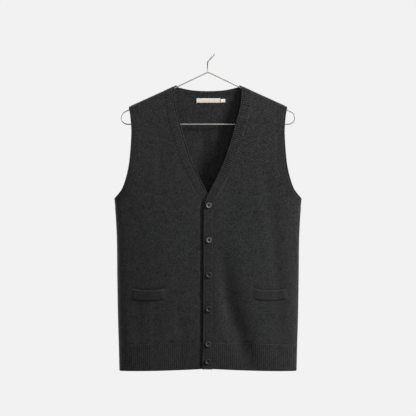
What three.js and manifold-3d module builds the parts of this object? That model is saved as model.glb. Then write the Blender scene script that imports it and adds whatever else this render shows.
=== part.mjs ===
// A knitted sweater vest with a V neck and a buttoned front, hanging on a bent wire hanger.
// Millimetres. The front faces -Y, +X is the wearer's left and +Z is up. The vest is worked out about
// the middle of its shoulders, and the finished group is moved so that the inside of the hook's top,
// where it hangs on a rail, is the origin.

import * as THREE from "three";
import { mergeVertices } from "three/addons/utils/BufferGeometryUtils.js";
import Module from "manifold-3d";

const { lerp, smoothstep, degToRad } = THREE.MathUtils;
const wasm = await Module();
wasm.setup();

// Thickness of the knit, from the middle of the cloth
const JERSEY_HALF = 1.2;
const RIB_INSIDE = 1.4;
const RIB_VALLEY = 0.7;
const RIB_PEAK = 1.6;
const RIB_PITCH = 5;
const BAND_RIBS = { inside: -RIB_INSIDE, valley: RIB_VALLEY, peak: RIB_PEAK, insideRun: 20 };
const INSIDE_TURN = Math.cos(degToRad(5));
const SEAM_GAP = 0.5;
const HALF_GAP = 0.15; // front and back stand this far from the plane between them
const LAY_GAP = 0.35; // between a piece and what it lies on

// Shoulders: the cloth is bent over the hanger's arms
const NECK_POINT = 75.6;
const SHOULDER_SLOPE = 0.4527;
const CREST_RADIUS = 4;
const CREST_TURN = (CREST_RADIUS * Math.PI) / 2;

// How far the body stands off the plane of the hanger
const FRONT_BULGE = 24;
const BACK_BULGE = 16;
const BULGE_DROP = 150;
const SIDE_ROUNDING = 3.6;

// Half the width of the body. Above the underarm it only keeps the armholes open
const HALF_WIDTH = [
  { z: -691, width: 213 },
  { z: -629, width: 214.5 },
  { z: -568, width: 216.4 },
  { z: -471, width: 218.1 },
  { z: -375, width: 219.2 },
  { z: -326, width: 221.4 },
  { z: -296, width: 223.6 },
  { z: -274, width: 226 },
  { z: -254, width: 236 },
  { z: -230, width: 252 },
  { z: -200, width: 272 },
  { z: -150, width: 300 },
  { z: 0, width: 380 },
];

// The band up one front edge: its free edge and the seam where it joins the front, from the hem to
// the shoulder. x is towards the wearer's own side
const FRONT_BAND = [
  { freeX: -11.5, freeZ: -684, seamX: 10.5, seamZ: -684 },
  { freeX: -10.5, freeZ: -640, seamX: 10.5, seamZ: -640 },
  { freeX: -10.5, freeZ: -330, seamX: 10.5, seamZ: -330 },
  { freeX: -9, freeZ: -292, seamX: 10.8, seamZ: -296 },
  { freeX: -4.5, freeZ: -273, seamX: 14, seamZ: -282 },
  { freeX: 4.8, freeZ: -254, seamX: 24, seamZ: -264.5 },
  { freeX: 17.8, freeZ: -229.7, seamX: 38.5, seamZ: -240 },
  { freeX: 28.8, freeZ: -205.5, seamX: 50.5, seamZ: -216.5 },
  { freeX: 40, freeZ: -181.4, seamX: 63.3, seamZ: -190.5 },
  { freeX: 48, freeZ: -157.2, seamX: 72, seamZ: -165.5 },
  { freeX: 56, freeZ: -133, seamX: 80.5, seamZ: -140.5 },
  { freeX: 62.7, freeZ: -108.8, seamX: 87.5, seamZ: -115.5 },
  { freeX: 69, freeZ: -84.6, seamX: 94, seamZ: -91 },
  { freeX: 75.5, freeZ: -60.5, seamX: 100, seamZ: -66.5 },
  { freeX: 79.6, freeZ: -36.3, seamX: 104, seamZ: -41 },
  { freeX: 81.2, freeZ: -18, seamX: 105, seamZ: -25 },
];

// The same band over the shoulder, by its distance over the cloth from the shoulder line
const SHOULDER_BAND = [
  { freeX: 81.5, seamX: 105, reach: -CREST_TURN },
  { freeX: 77, seamX: 103.4, reach: 0 },
  { freeX: 72, seamX: 101, reach: CREST_TURN },
];

// The same band round half of the back neck, down to its middle
const BACK_NECK_BAND = [
  { freeX: 68.5, freeZ: -6.3, seamX: 95, seamZ: -20.8 },
  { freeX: 63, freeZ: -7.6, seamX: 80, seamZ: -26 },
  { freeX: 54, freeZ: -9.7, seamX: 59.5, seamZ: -30.6 },
  { freeX: 40, freeZ: -12.3, seamX: 43, seamZ: -33.3 },
  { freeX: 20, freeZ: -14, seamX: 21, seamZ: -35 },
  { freeX: 0, freeZ: -14.5, seamX: 0, seamZ: -35.5 },
];

// The band of one armhole, the same in front and behind: where it crosses the side of the body, its
// rows from there up to the shoulder, and its edges on the shoulder line
const UNDERARM = { seamZ: -296.3, freeZ: -274.5 };
const ARMHOLE_BAND = [
  { seamX: 211, seamZ: -287, freeX: 221.5, freeZ: -269 },
  { seamX: 198.6, seamZ: -275.6, freeX: 215.5, freeZ: -262 },
  { seamX: 186.5, seamZ: -259, freeX: 207.5, freeZ: -250.5 },
  { seamX: 177, seamZ: -238, freeX: 199.8, freeZ: -230 },
  { seamX: 170.5, seamZ: -215, freeX: 194.5, freeZ: -210 },
  { seamX: 166.8, seamZ: -190, freeX: 190.3, freeZ: -187 },
  { seamX: 165, seamZ: -165, freeX: 187.5, freeZ: -158 },
  { seamX: 164.5, seamZ: -140, freeX: 186, freeZ: -135 },
  { seamX: 164.4, seamZ: -108, freeX: 185.3, freeZ: -108 },
  { seamX: 164.4, seamZ: -75, freeX: 188, freeZ: -75 },
];
const ARMHOLE_CREST = { seamX: 164.4, freeX: 191 };

// The ribbed hem hangs a little lower at the sides
const HEM_HALF = 215;
const HEM_TOP = -622.5;
const HEM_BOTTOM = -684.5;
const HEM_SAG = 6.5;

// How the overlapping front edges drift sideways
const SWAY = [
  { z: -684, x: -1.8 },
  { z: -520, x: 0 },
  { z: -290, x: 0.7 },
  { z: -215, x: 0 },
  { z: 0, x: 0 },
];

// The left front laps over the right one
const OVER_LIFT = 2.8;
const UNDER_LIFT = -1;
const LAP = { nearX: 15, farX: 55, lowZ: -255, highZ: -215 };

// Soft folds: where each begins and ends, how far it bows, how deep it is and how wide
const FRONT_FOLDS = [
  { fromX: 31, fromZ: -390, toX: 118, toZ: -745, bow: -4, depth: 5.5, spread: 17 },
  { fromX: 170, fromZ: -225, toX: 203, toZ: -650, bow: -3, depth: 5, spread: 15 },
  { fromX: -172, fromZ: -450, toX: -172, toZ: -660, bow: 0, depth: 2.5, spread: 14 },
  { fromX: -198, fromZ: -250, toX: -188, toZ: -440, bow: 0, depth: 2.4, spread: 14 },
  { fromX: -62, fromZ: -520, toX: -84, toZ: -745, bow: 3, depth: 2.2, spread: 20 },
];
const BACK_FOLDS = [
  { fromX: -14, fromZ: -90, toX: -18, toZ: -440, bow: 0, depth: -3, spread: 16 },
  { fromX: 14, fromZ: -90, toX: 18, toZ: -440, bow: 0, depth: 3, spread: 16 },
  { fromX: 58, fromZ: -360, toX: 96, toZ: -750, bow: 4, depth: 4, spread: 19 },
  { fromX: -88, fromZ: -400, toX: -124, toZ: -750, bow: -4, depth: 4.5, spread: 18 },
  { fromX: -176, fromZ: -270, toX: -186, toZ: -620, bow: 0, depth: 3.5, spread: 15 },
  { fromX: 178, fromZ: -300, toX: 187, toZ: -640, bow: 0, depth: 3.5, spread: 15 },
];

// Pocket welts: ribbed strips whose ends lean out and whose middle sags
const WELTS = [
  { name: "right_pocket_welt", side: -1, middle: 143.5 },
  { name: "left_pocket_welt", side: 1, middle: 150 },
];
const WELT = { topZ: -494.5, bottomZ: -518, topHalf: 38, bottomHalf: 44.5, sag: 4, ribs: 16 };
const WELT_RIBS = { inside: LAY_GAP, valley: LAY_GAP + 1, peak: LAY_GAP + 1.9, insideRun: 6 };

// Labels inside the back neck
const LABELS = [
  { name: "neck_label", fromX: -29, toX: 30.2, topZ: -31.4, bottomZ: -44, columns: 8 },
  { name: "size_label", fromX: 31, toX: 42, topZ: -33.4, bottomZ: -42.3, columns: 3 },
];
const LABEL_THICKNESS = 0.9;

// Buttons, from the V down to the hem
const BUTTON_PLACES = [
  { x: 1.9, z: -291.1 },
  { x: 2.2, z: -374.5 },
  { x: 1.9, z: -458 },
  { x: 1.5, z: -540.9 },
  { x: 0.5, z: -625.1 },
  { x: -0.2, z: -666.9 },
];
const BUTTON_RADIUS = 7.5;
const BUTTON_HOLES = { count: 4, radius: 0.9, out: 1.9 };
const BUTTON_SIDES = 16;

// Wire hanger
const WIRE_RADIUS = 1.5;
const WIRE_SIDES = 8;
const ARM_ANGLE = Math.atan(0.478);
const ARMS_CROSS = 31.3; // height where the two arms would meet if they were not bent
const APEX_BEND = 12;
const END_BEND = 16;
const LOWER_BAR = -95;
const SHANK_TOP = 55.6;
const HOOK_LEAN = degToRad(40.5);
const HOOK_RADIUS = 18;
const HOOK_MIDDLE = 8.7; // from the shank's top, along the leaning hook
const HOOK_STEPS = 34;

const MATERIALS = {
  jersey: new THREE.MeshStandardMaterial({ color: 0x2c2c2e, roughness: 0.95 }),
  rib: new THREE.MeshStandardMaterial({ color: 0x303032, roughness: 0.95 }),
  button: new THREE.MeshStandardMaterial({ color: 0x3c3c40, roughness: 0.4 }),
  label: new THREE.MeshStandardMaterial({ color: 0xdbd2c7, roughness: 0.8 }),
  wire: new THREE.MeshStandardMaterial({ color: 0x8c8d90, roughness: 0.35, metalness: 1 }),
};

// A smooth curve through the rows of a table, from one column to another
function curveThrough(rows, from, to) {
  const last = rows.length - 1;
  const slopes = rows.map((row, i) => {
    const before = rows[Math.max(i - 1, 0)];
    const after = rows[Math.min(i + 1, last)];
    return (after[to] - before[to]) / (after[from] - before[from]);
  });
  return (value) => {
    let i = 0;
    while (i < last - 1 && value > rows[i + 1][from]) i += 1;
    const span = rows[i + 1][from] - rows[i][from];
    const t = THREE.MathUtils.clamp((value - rows[i][from]) / span, 0, 1);
    const keep = (1 + 2 * t) * (1 - t) ** 2;
    const leave = t * (1 - t) ** 2;
    const arrive = t * t * (t - 1);
    return (
      keep * rows[i][to] +
      (1 - keep) * rows[i + 1][to] +
      span * (leave * slopes[i] + arrive * slopes[i + 1])
    );
  };
}

const halfWidth = curveThrough(HALF_WIDTH, "z", "width");
const sway = curveThrough(SWAY, "z", "x");

// Height of the outside of the cloth along the shoulders
function ridge(x) {
  return -SHOULDER_SLOPE * Math.max(Math.abs(x) - NECK_POINT, 0);
}

// Distance over the cloth from the shoulder line down to a height: facing is -1 in front, 1 behind
function reachOf(x, z, facing) {
  const drop = Math.max(ridge(x) - JERSEY_HALF - z, 0);
  if (drop >= CREST_RADIUS) return facing * (CREST_TURN + drop - CREST_RADIUS);
  return facing * CREST_RADIUS * Math.acos(1 - drop / CREST_RADIUS);
}

// 1 in the middle of the body, 0 on the fold down each side
function openness(x, z) {
  return 1 - (Math.abs(x) / halfWidth(z)) ** SIDE_ROUNDING;
}

// How far one fold sinks the cloth
function foldDepth(fold, x, z) {
  const along = (z - fold.fromZ) / (fold.toZ - fold.fromZ);
  if (along <= 0 || along >= 1) return 0;
  const middle = lerp(fold.fromX, fold.toX, along) + 4 * fold.bow * along * (1 - along);
  const fade = 1 - Math.abs(2 * along - 1) ** 3;
  return fold.depth * fade * Math.exp(-(((x - middle) / fold.spread) ** 2));
}

// Relief of the cloth outwards: its folds, and the lift of one front over the other
function relief(x, z, facing, side) {
  const folds = facing < 0 ? FRONT_FOLDS : BACK_FOLDS;
  const sunk = folds.reduce((sum, fold) => sum + foldDepth(fold, x, z), 0);
  if (facing > 0) return -sunk * openness(x, z);
  const lift = side > 0 ? OVER_LIFT : UNDER_LIFT;
  const near = 1 - smoothstep(side * x, LAP.nearX, LAP.farX);
  const low = 1 - smoothstep(z, LAP.lowZ, LAP.highZ);
  return lift * near * low - sunk * openness(x, z) * (1 - near);
}

// How far below the shoulder line a distance over the cloth ends
function dropOf(reach) {
  const turn = Math.min(Math.abs(reach) / CREST_RADIUS, Math.PI / 2);
  return CREST_RADIUS * (1 - Math.cos(turn)) + Math.max(Math.abs(reach) - CREST_TURN, 0);
}

function heightAt(x, reach) {
  return ridge(x) - JERSEY_HALF - dropOf(reach);
}

// The middle of the cloth and its outward normal. reach is the distance over the cloth from the
// shoulder line, side is the front it belongs to and apart keeps two pieces from meeting
function clothAt(x, reach, { facing, side, apart = 0 }) {
  const turn = Math.min(Math.abs(reach) / CREST_RADIUS, Math.PI / 2);
  const drop = dropOf(reach);
  const z = heightAt(x, reach);
  const bulge = facing < 0 ? FRONT_BULGE : BACK_BULGE;
  const fade = Math.exp(-drop / BULGE_DROP);
  const depth = CREST_RADIUS * Math.sin(turn) + bulge * (1 - fade);
  const open = Math.max(openness(x, z), 0);
  const y = facing * (apart + Math.sqrt(open) * depth + relief(x, z, facing, side));

  const step = 0.01;
  const slope = (f, dx, dz) => (f(x + dx, z + dz) - f(x - dx, z - dz)) / (2 * step);
  const outward = (px, pz) => relief(px, pz, facing, side);
  const rise = Math.sin(turn);
  const steep = open * (Math.cos(turn) + (rise * bulge * fade) / BULGE_DROP);
  const shoulder = Math.abs(x) > NECK_POINT ? -SHOULDER_SLOPE * Math.sign(x) : 0;
  const half = (rise * depth) / 2;
  const flat = rise * Math.sqrt(open);
  const normal = new THREE.Vector3(
    -half * slope(openness, step, 0) - steep * shoulder - flat * slope(outward, step, 0),
    facing * flat,
    -half * slope(openness, 0, step) + steep - flat * slope(outward, 0, step),
  ).normalize();
  return { point: new THREE.Vector3(x, y, z), normal };
}

function onCloth(x, z, options) {
  return clothAt(x, reachOf(x, z, options.facing), options);
}

// A closed surface that is put together from points, and turned to face out
class Shell {
  points = [];
  faces = [];

  add({ point, normal }, offset) {
    this.points.push(point.clone().addScaledVector(normal, offset));
    return this.points.length - 1;
  }

  quad(a, b, c, d) {
    this.faces.push([a, b, c], [a, c, d]);
  }

  geometry() {
    const [a, b, c] = [new THREE.Vector3(), new THREE.Vector3(), new THREE.Vector3()];
    const volume = this.faces.reduce((sum, face) => {
      a.copy(this.points[face[0]]);
      b.copy(this.points[face[1]]);
      c.copy(this.points[face[2]]);
      return sum + a.dot(b.cross(c));
    }, 0);
    const faces = volume < 0 ? this.faces.map(([p, q, r]) => [p, r, q]) : this.faces;
    const geometry = new THREE.BufferGeometry().setFromPoints(this.points).setIndex(faces.flat());
    geometry.computeVertexNormals();
    return geometry;
  }
}

// A wall of cloth over a grid of places, from one offset to another along the normals
function gridWall(rows, outside, inside) {
  const shell = new Shell();
  const outer = rows.map((row) => row.map((place) => shell.add(place, outside)));
  const inner = rows.map((row) => row.map((place) => shell.add(place, inside)));
  const lastRow = rows.length - 1;
  const lastColumn = rows[0].length - 1;
  for (let i = 0; i < lastRow; i += 1) {
    for (let j = 0; j < lastColumn; j += 1) {
      shell.quad(outer[i][j], outer[i + 1][j], outer[i + 1][j + 1], outer[i][j + 1]);
      shell.quad(inner[i][j + 1], inner[i + 1][j + 1], inner[i + 1][j], inner[i][j]);
    }
    shell.quad(inner[i][0], inner[i + 1][0], outer[i + 1][0], outer[i][0]);
    shell.quad(outer[i][lastColumn], outer[i + 1][lastColumn], inner[i + 1][lastColumn], inner[i][lastColumn]);
  }
  for (let j = 0; j < lastColumn; j += 1) {
    shell.quad(outer[0][j], outer[0][j + 1], inner[0][j + 1], inner[0][j]);
    shell.quad(inner[lastRow][j], inner[lastRow][j + 1], outer[lastRow][j + 1], outer[lastRow][j]);
  }
  return shell.geometry();
}

// The columns that the plain inside of a ribbed strip needs: where it has turned, or run far
function insideColumns(columns, longestRun) {
  const kept = [0];
  const last = columns.length - 1;
  for (let k = 1; k < last; k += 1) {
    const before = columns[kept.at(-1)];
    const next = columns[k + 1];
    const turned = before.seam.normal.dot(next.seam.normal) < INSIDE_TURN;
    const ahead = columns[k].seam.point.clone().sub(before.seam.point).normalize();
    const on = next.seam.point.clone().sub(columns[k].seam.point).normalize();
    const far = before.seam.point.distanceTo(next.seam.point) > longestRun;
    if (turned || far || ahead.dot(on) < INSIDE_TURN) kept.push(k);
  }
  kept.push(last);
  return kept;
}

// A ribbed strip between two edges: ribs raised outside, plain inside. A closed one ends where it began
function ribbedWall(columns, ribs = BAND_RIBS, closed = false) {
  const shell = new Shell();
  const last = columns.length - 1;
  const kept = insideColumns(columns, ribs.insideRun);
  const outer = columns.map(({ seam, free }, k) => {
    const raise = k % 2 ? ribs.peak : ribs.valley;
    return [shell.add(seam, raise), shell.add(free, raise)];
  });
  const inner = kept.map((k) => [
    shell.add(columns[k].seam, ribs.inside),
    shell.add(columns[k].free, ribs.inside),
  ]);
  if (closed) {
    outer[last] = outer[0];
    inner[inner.length - 1] = inner[0];
  }
  for (let k = 0; k < last; k += 1) {
    shell.quad(outer[k][0], outer[k][1], outer[k + 1][1], outer[k + 1][0]);
  }
  for (let i = 0; i < kept.length - 1; i += 1) {
    const [from, to] = [kept[i], kept[i + 1]];
    const middle = Math.floor((from + to) / 2);
    const [near, far] = [inner[i], inner[i + 1]];
    shell.quad(near[1], near[0], far[0], far[1]);
    for (let k = from; k < to; k += 1) {
      const corner = k < middle ? near : far;
      shell.faces.push([outer[k][0], outer[k + 1][0], corner[0]], [outer[k + 1][1], outer[k][1], corner[1]]);
    }
    shell.faces.push([near[0], outer[middle][0], far[0]], [near[1], far[1], outer[middle][1]]);
  }
  if (!closed) {
    shell.quad(outer[0][1], outer[0][0], inner[0][0], inner[0][1]);
    shell.quad(outer[last][0], outer[last][1], inner.at(-1)[1], inner.at(-1)[0]);
  }
  return shell.geometry();
}

// Columns of a strip, spaced evenly over the cloth so that whole ribs fit. columnAt takes 0 to 1
function evenColumns(columnAt, samples = 600) {
  const middles = [];
  for (let i = 0; i <= samples; i += 1) {
    const { seam, free } = columnAt(i / samples);
    middles.push(seam.point.clone().lerp(free.point, 0.5));
  }
  const lengths = [0];
  for (let i = 1; i <= samples; i += 1) {
    lengths.push(lengths[i - 1] + middles[i].distanceTo(middles[i - 1]));
  }
  const count = 2 * Math.round(lengths[samples] / RIB_PITCH);
  const columns = [];
  let i = 0;
  for (let k = 0; k <= count; k += 1) {
    const wanted = (lengths[samples] * k) / count;
    while (i < samples - 1 && lengths[i + 1] < wanted) i += 1;
    const share = (wanted - lengths[i]) / (lengths[i + 1] - lengths[i]);
    columns.push(columnAt((i + share) / samples));
  }
  return columns;
}

// Stations along a band get their distance along it, so that curves can run through them
function measured(stations) {
  let at = 0;
  return stations.map((station, i) => {
    if (i > 0) {
      const before = stations[i - 1];
      const across = station.freeX + station.seamX - before.freeX - before.seamX;
      const down = station.freeReach + station.seamReach - before.freeReach - before.seamReach;
      at += Math.hypot(across, down) / 2;
    }
    return { ...station, at };
  });
}

// The two edges of a band through its stations, and the edge of the panel that is sewn to it
function bandEdges(stations) {
  const curves = {};
  for (const column of ["freeX", "freeReach", "seamX", "seamReach"]) {
    curves[column] = curveThrough(stations, "at", column);
  }
  return {
    length: stations.at(-1).at,
    free: (at) => ({ x: curves.freeX(at), reach: curves.freeReach(at) }),
    seam: (at, gap = 0) => {
      const [freeX, freeReach] = [curves.freeX(at), curves.freeReach(at)];
      const [seamX, seamReach] = [curves.seamX(at), curves.seamReach(at)];
      const beyond = gap / Math.hypot(seamX - freeX, seamReach - freeReach);
      return { x: lerp(seamX, freeX, -beyond), reach: lerp(seamReach, freeReach, -beyond) };
    },
  };
}

function stationOf(row, facing) {
  return {
    freeX: row.freeX,
    freeReach: reachOf(row.freeX, row.freeZ, facing),
    seamX: row.seamX,
    seamReach: reachOf(row.seamX, row.seamZ, facing),
  };
}

const neckStations = measured([
  ...FRONT_BAND.map((row) => stationOf(row, -1)),
  ...SHOULDER_BAND.map(({ freeX, seamX, reach }) => ({ freeX, seamX, freeReach: reach, seamReach: reach })),
  ...BACK_NECK_BAND.map((row) => stationOf(row, 1)),
]);
const neckCrestAt = neckStations[FRONT_BAND.length + 1].at;
const neckBand = bandEdges(neckStations);

const underarmRow = { ...UNDERARM, seamX: halfWidth(UNDERARM.seamZ), freeX: halfWidth(UNDERARM.freeZ) };
const armholeStations = measured([
  ...[underarmRow, ...ARMHOLE_BAND].map((row) => stationOf(row, -1)),
  { ...ARMHOLE_CREST, freeReach: -CREST_TURN, seamReach: -CREST_TURN },
  { ...ARMHOLE_CREST, freeReach: 0, seamReach: 0 },
]);
const armholeBand = bandEdges(armholeStations);

// The edge of a panel along a band: where it is at a share of the way between two distances
function panelEdge(band, from, to) {
  return (share) => {
    const { x, reach } = band.seam(lerp(from, to, share), SEAM_GAP);
    return { x, z: heightAt(x, reach) };
  };
}

// The same edge as a function of height
function edgeByHeight(edge, samples = 300) {
  const rows = Array.from({ length: samples + 1 }, (_, i) => edge(i / samples));
  return curveThrough(rows, "z", "x");
}

const neckEdgeX = edgeByHeight(panelEdge(neckBand, 0, neckCrestAt));
const armholeFootAt = armholeStations.at(-2).at;
const armholeEdge = panelEdge(armholeBand, 0, armholeFootAt);
const shoulderEnd = armholeBand.seam(armholeBand.length, SEAM_GAP).x;
const shoulderStart = neckBand.seam(neckCrestAt, SEAM_GAP).x;

// Rows and columns of the panels. Rows close up towards the underarm, and columns towards the side
const BODY_ROWS = 8;
const ARMHOLE_ROWS = 20;
const ARMHOLE_EASE = 1.8;
const NECK_EASE = 1.5;
const CREST_REACHES = [CREST_TURN / 2, 0];
const COLUMNS = 12;
const BACK_COLUMNS = 16;
const NECK_COLUMNS = 10; // of half the back's, up to the neck's corner
const CORNER_EASE = 1.6;
const SIDE_EASE = 0.4;
const UNDERARM_Z = UNDERARM.seamZ - SEAM_GAP;

// Share of a row's width at a share of its columns, closer together towards the fold at the side
function sideShare(share) {
  const steep = 1 / (1 - SIDE_EASE / 2);
  const left = 1 - share;
  if (left >= SIDE_EASE) return steep * share;
  return 1 - (steep * left * left) / (2 * SIDE_EASE);
}

function hemTop(x) {
  return HEM_TOP - HEM_SAG * (x / HEM_HALF) ** 2;
}

function hemBottom(x) {
  return HEM_BOTTOM - HEM_SAG * (1 - (1 - Math.min(Math.abs(x) / HEM_HALF, 1)) ** 2);
}

// The outer ends of a panel's rows from the underarm to the shoulder line
function outerEnds() {
  const ends = [];
  for (let i = 1; i <= ARMHOLE_ROWS; i += 1) ends.push(armholeEdge((i / ARMHOLE_ROWS) ** ARMHOLE_EASE));
  for (const reach of CREST_REACHES) ends.push({ x: shoulderEnd, z: heightAt(shoulderEnd, reach) });
  return ends;
}

// A front, from its hem to the shoulder line
function frontPanel(side) {
  const options = { facing: -1, side, apart: HALF_GAP };
  const rows = [];
  const inner = (z) => side * neckEdgeX(z) + sway(z);
  for (let i = 0; i <= BODY_ROWS; i += 1) {
    const up = i / BODY_ROWS;
    const middle = lerp(HEM_TOP, UNDERARM_Z, up);
    const row = [];
    for (let j = 0; j <= COLUMNS; j += 1) {
      const x = lerp(inner(middle), side * halfWidth(middle), sideShare(j / COLUMNS));
      row.push(onCloth(x, lerp(hemTop(x) + SEAM_GAP, UNDERARM_Z, up), options));
    }
    rows.push(row);
  }
  outerEnds().forEach((outer, i) => {
    const up = Math.min((i + 1) / ARMHOLE_ROWS, 1);
    const reach = CREST_REACHES[i - ARMHOLE_ROWS] ?? CREST_TURN;
    const z = lerp(UNDERARM_Z, heightAt(shoulderStart, reach), up ** NECK_EASE);
    const ease = 1 - up;
    const row = [];
    for (let j = 0; j <= COLUMNS; j += 1) {
      const share = lerp(j / COLUMNS, sideShare(j / COLUMNS), ease);
      row.push(onCloth(lerp(inner(z), side * outer.x, share), lerp(z, outer.z, share), options));
    }
    rows.push(row);
  });
  return gridWall(rows, JERSEY_HALF, -JERSEY_HALF);
}

// Where each column of half of the back meets the neck band or the shoulder line
function backTop() {
  const footAt = neckStations[FRONT_BAND.length + 2].at;
  const neck = panelEdge(neckBand, neckBand.length, footAt);
  const places = [];
  for (let j = 0; j < NECK_COLUMNS; j += 1) {
    places.push(neck(1 - (1 - j / (NECK_COLUMNS - 1)) ** CORNER_EASE));
  }
  for (let j = NECK_COLUMNS; j <= BACK_COLUMNS; j += 1) {
    const x = lerp(shoulderStart, shoulderEnd, (j - NECK_COLUMNS) / (BACK_COLUMNS - NECK_COLUMNS));
    places.push({ x, z: heightAt(x, 0) });
  }
  return places;
}

// The back, from its hem to the neck and shoulders
function backPanel() {
  const options = { facing: 1, side: 1, apart: HALF_GAP };
  const top = backTop();
  const halves = [];
  for (let i = 0; i <= BODY_ROWS; i += 1) {
    const up = i / BODY_ROWS;
    const width = halfWidth(lerp(HEM_TOP, UNDERARM_Z, up));
    halves.push(
      top.map((_, j) => {
        const x = width * sideShare(j / BACK_COLUMNS);
        return { x, z: lerp(hemTop(x) + SEAM_GAP, UNDERARM_Z, up) };
      }),
    );
  }
  for (const outer of outerEnds()) {
    const up = (outer.z - UNDERARM_Z) / (heightAt(shoulderEnd, 0) - UNDERARM_Z);
    halves.push(
      top.map((place, j) => ({
        x: outer.x * lerp(sideShare(j / BACK_COLUMNS), place.x / shoulderEnd, up),
        z: lerp(UNDERARM_Z, place.z, up),
      })),
    );
  }
  const rows = halves.map((half) => [
    ...half.slice(1).reverse().map(({ x, z }) => onCloth(-x, z, options)),
    ...half.map(({ x, z }) => onCloth(x, z, options)),
  ]);
  return gridWall(rows, JERSEY_HALF, -JERSEY_HALF);
}

// The ribbed hem of a front, from its front edge to the side, closing up towards the side
function frontHem(side) {
  const options = { facing: -1, side, apart: HALF_GAP };
  return ribbedWall(
    evenColumns((t) => {
      const share = 1 - (1 - t) ** 2;
      const place = (startZ, height) => {
        const x = lerp(side * neckEdgeX(startZ) + sway(startZ), side * halfWidth(startZ), share);
        return onCloth(x, height(x), options);
      };
      return { seam: place(HEM_TOP, hemTop), free: place(HEM_BOTTOM, hemBottom) };
    }),
  );
}

// The ribbed hem of the back, from side to side
function backHem() {
  const options = { facing: 1, side: 1, apart: HALF_GAP };
  return ribbedWall(
    evenColumns((t) => {
      const across = 2 * t - 1;
      const share = Math.sign(across) * (1 - (1 - Math.abs(across)) ** 2);
      const place = (startZ, height) => {
        const x = share * halfWidth(startZ);
        return onCloth(x, height(x), options);
      };
      return { seam: place(HEM_TOP, hemTop), free: place(HEM_BOTTOM, hemBottom) };
    }),
  );
}

// The band round one armhole: from the underarm up the front, over the shoulder and down the back
function armholeRibs(side) {
  const columns = evenColumns((t) => {
    const facing = t < 0.5 ? -1 : 1;
    const at = armholeBand.length * (1 - Math.abs(2 * t - 1)) ** 2;
    const place = ({ x, reach }) => clothAt(side * x, facing * Math.abs(reach), { facing, side });
    return { seam: place(armholeBand.seam(at)), free: place(armholeBand.free(at)) };
  });
  return ribbedWall(columns, BAND_RIBS, true);
}

// The band up the left front edge, round the neck and down the right front edge
function neckAndFrontRibs() {
  const columns = evenColumns((t) => {
    const side = t < 0.5 ? 1 : -1;
    const at = neckBand.length * (1 - Math.abs(2 * t - 1));
    const place = ({ x, reach }) => {
      const facing = Math.sign(reach) || 1;
      return clothAt(side * x + sway(heightAt(x, reach)), reach, { facing, side });
    };
    return { seam: place(neckBand.seam(at)), free: place(neckBand.free(at)) };
  });
  return ribbedWall(columns);
}

// A pocket welt, laid on the front that carries it
function pocketWelt({ side, middle }, front) {
  const ray = new THREE.Raycaster();
  const outward = new THREE.Vector3(0, -1, 0);
  const onFront = (x, z) => {
    ray.set(new THREE.Vector3(x, -500, z), new THREE.Vector3(0, 1, 0));
    return { point: ray.intersectObject(front)[0].point, normal: outward };
  };
  const columns = [];
  for (let k = 0; k <= 2 * WELT.ribs; k += 1) {
    const across = k / WELT.ribs - 1;
    const sink = WELT.sag * (across * across - 0.5);
    columns.push({
      seam: onFront(side * middle + WELT.topHalf * across, WELT.topZ + sink),
      free: onFront(side * middle + WELT.bottomHalf * across, WELT.bottomZ + sink),
    });
  }
  return ribbedWall(columns, WELT_RIBS);
}

// A label, flat against the inside of the back
function labelPatch({ fromX, toX, topZ, bottomZ, columns }) {
  const rows = [bottomZ, topZ].map((z) =>
    Array.from({ length: columns + 1 }, (_, j) =>
      onCloth(lerp(fromX, toX, j / columns), z, { facing: 1, side: 1 }),
    ),
  );
  const face = -(RIB_INSIDE + LAY_GAP);
  return gridWall(rows, face, face - LABEL_THICKNESS);
}

function solidOf(geometry) {
  const bare = geometry.clone();
  bare.deleteAttribute("normal");
  bare.deleteAttribute("uv");
  const merged = mergeVertices(bare);
  return new wasm.Manifold(
    new wasm.Mesh({
      numProp: 3,
      vertProperties: merged.attributes.position.array,
      triVerts: new Uint32Array(merged.index.array),
    }),
  );
}

function geometryOf(solid) {
  const { vertProperties, triVerts } = solid.getMesh();
  const geometry = new THREE.BufferGeometry();
  geometry.setAttribute("position", new THREE.BufferAttribute(vertProperties, 3));
  geometry.setIndex(new THREE.BufferAttribute(triVerts, 1));
  geometry.computeVertexNormals();
  return geometry;
}

// A sewn-through button: a raised rim round a dished face with four holes. Its back is at y = 0
const BUTTON_PROFILE = [
  { radius: 0, height: 0 },
  { radius: 5.6, height: 0 },
  { radius: BUTTON_RADIUS, height: 1.3 },
  { radius: 7.1, height: 2.9 },
  { radius: 6.1, height: 3.2 },
  { radius: 4.9, height: 2.4 },
  { radius: 0, height: 2.1 },
];
function buttonGeometry() {
  const profile = BUTTON_PROFILE.map(({ radius, height }) => new THREE.Vector2(radius, -height));
  const disc = new THREE.LatheGeometry(profile.reverse(), BUTTON_SIDES);
  let button = solidOf(disc);
  for (let i = 0; i < BUTTON_HOLES.count; i += 1) {
    const angle = ((i + 0.5) * 2 * Math.PI) / BUTTON_HOLES.count;
    const hole = new THREE.CylinderGeometry(BUTTON_HOLES.radius, BUTTON_HOLES.radius, 12, 6);
    hole.translate(BUTTON_HOLES.out * Math.cos(angle), 0, BUTTON_HOLES.out * Math.sin(angle));
    button = button.subtract(solidOf(hole));
  }
  return geometryOf(button);
}

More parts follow.
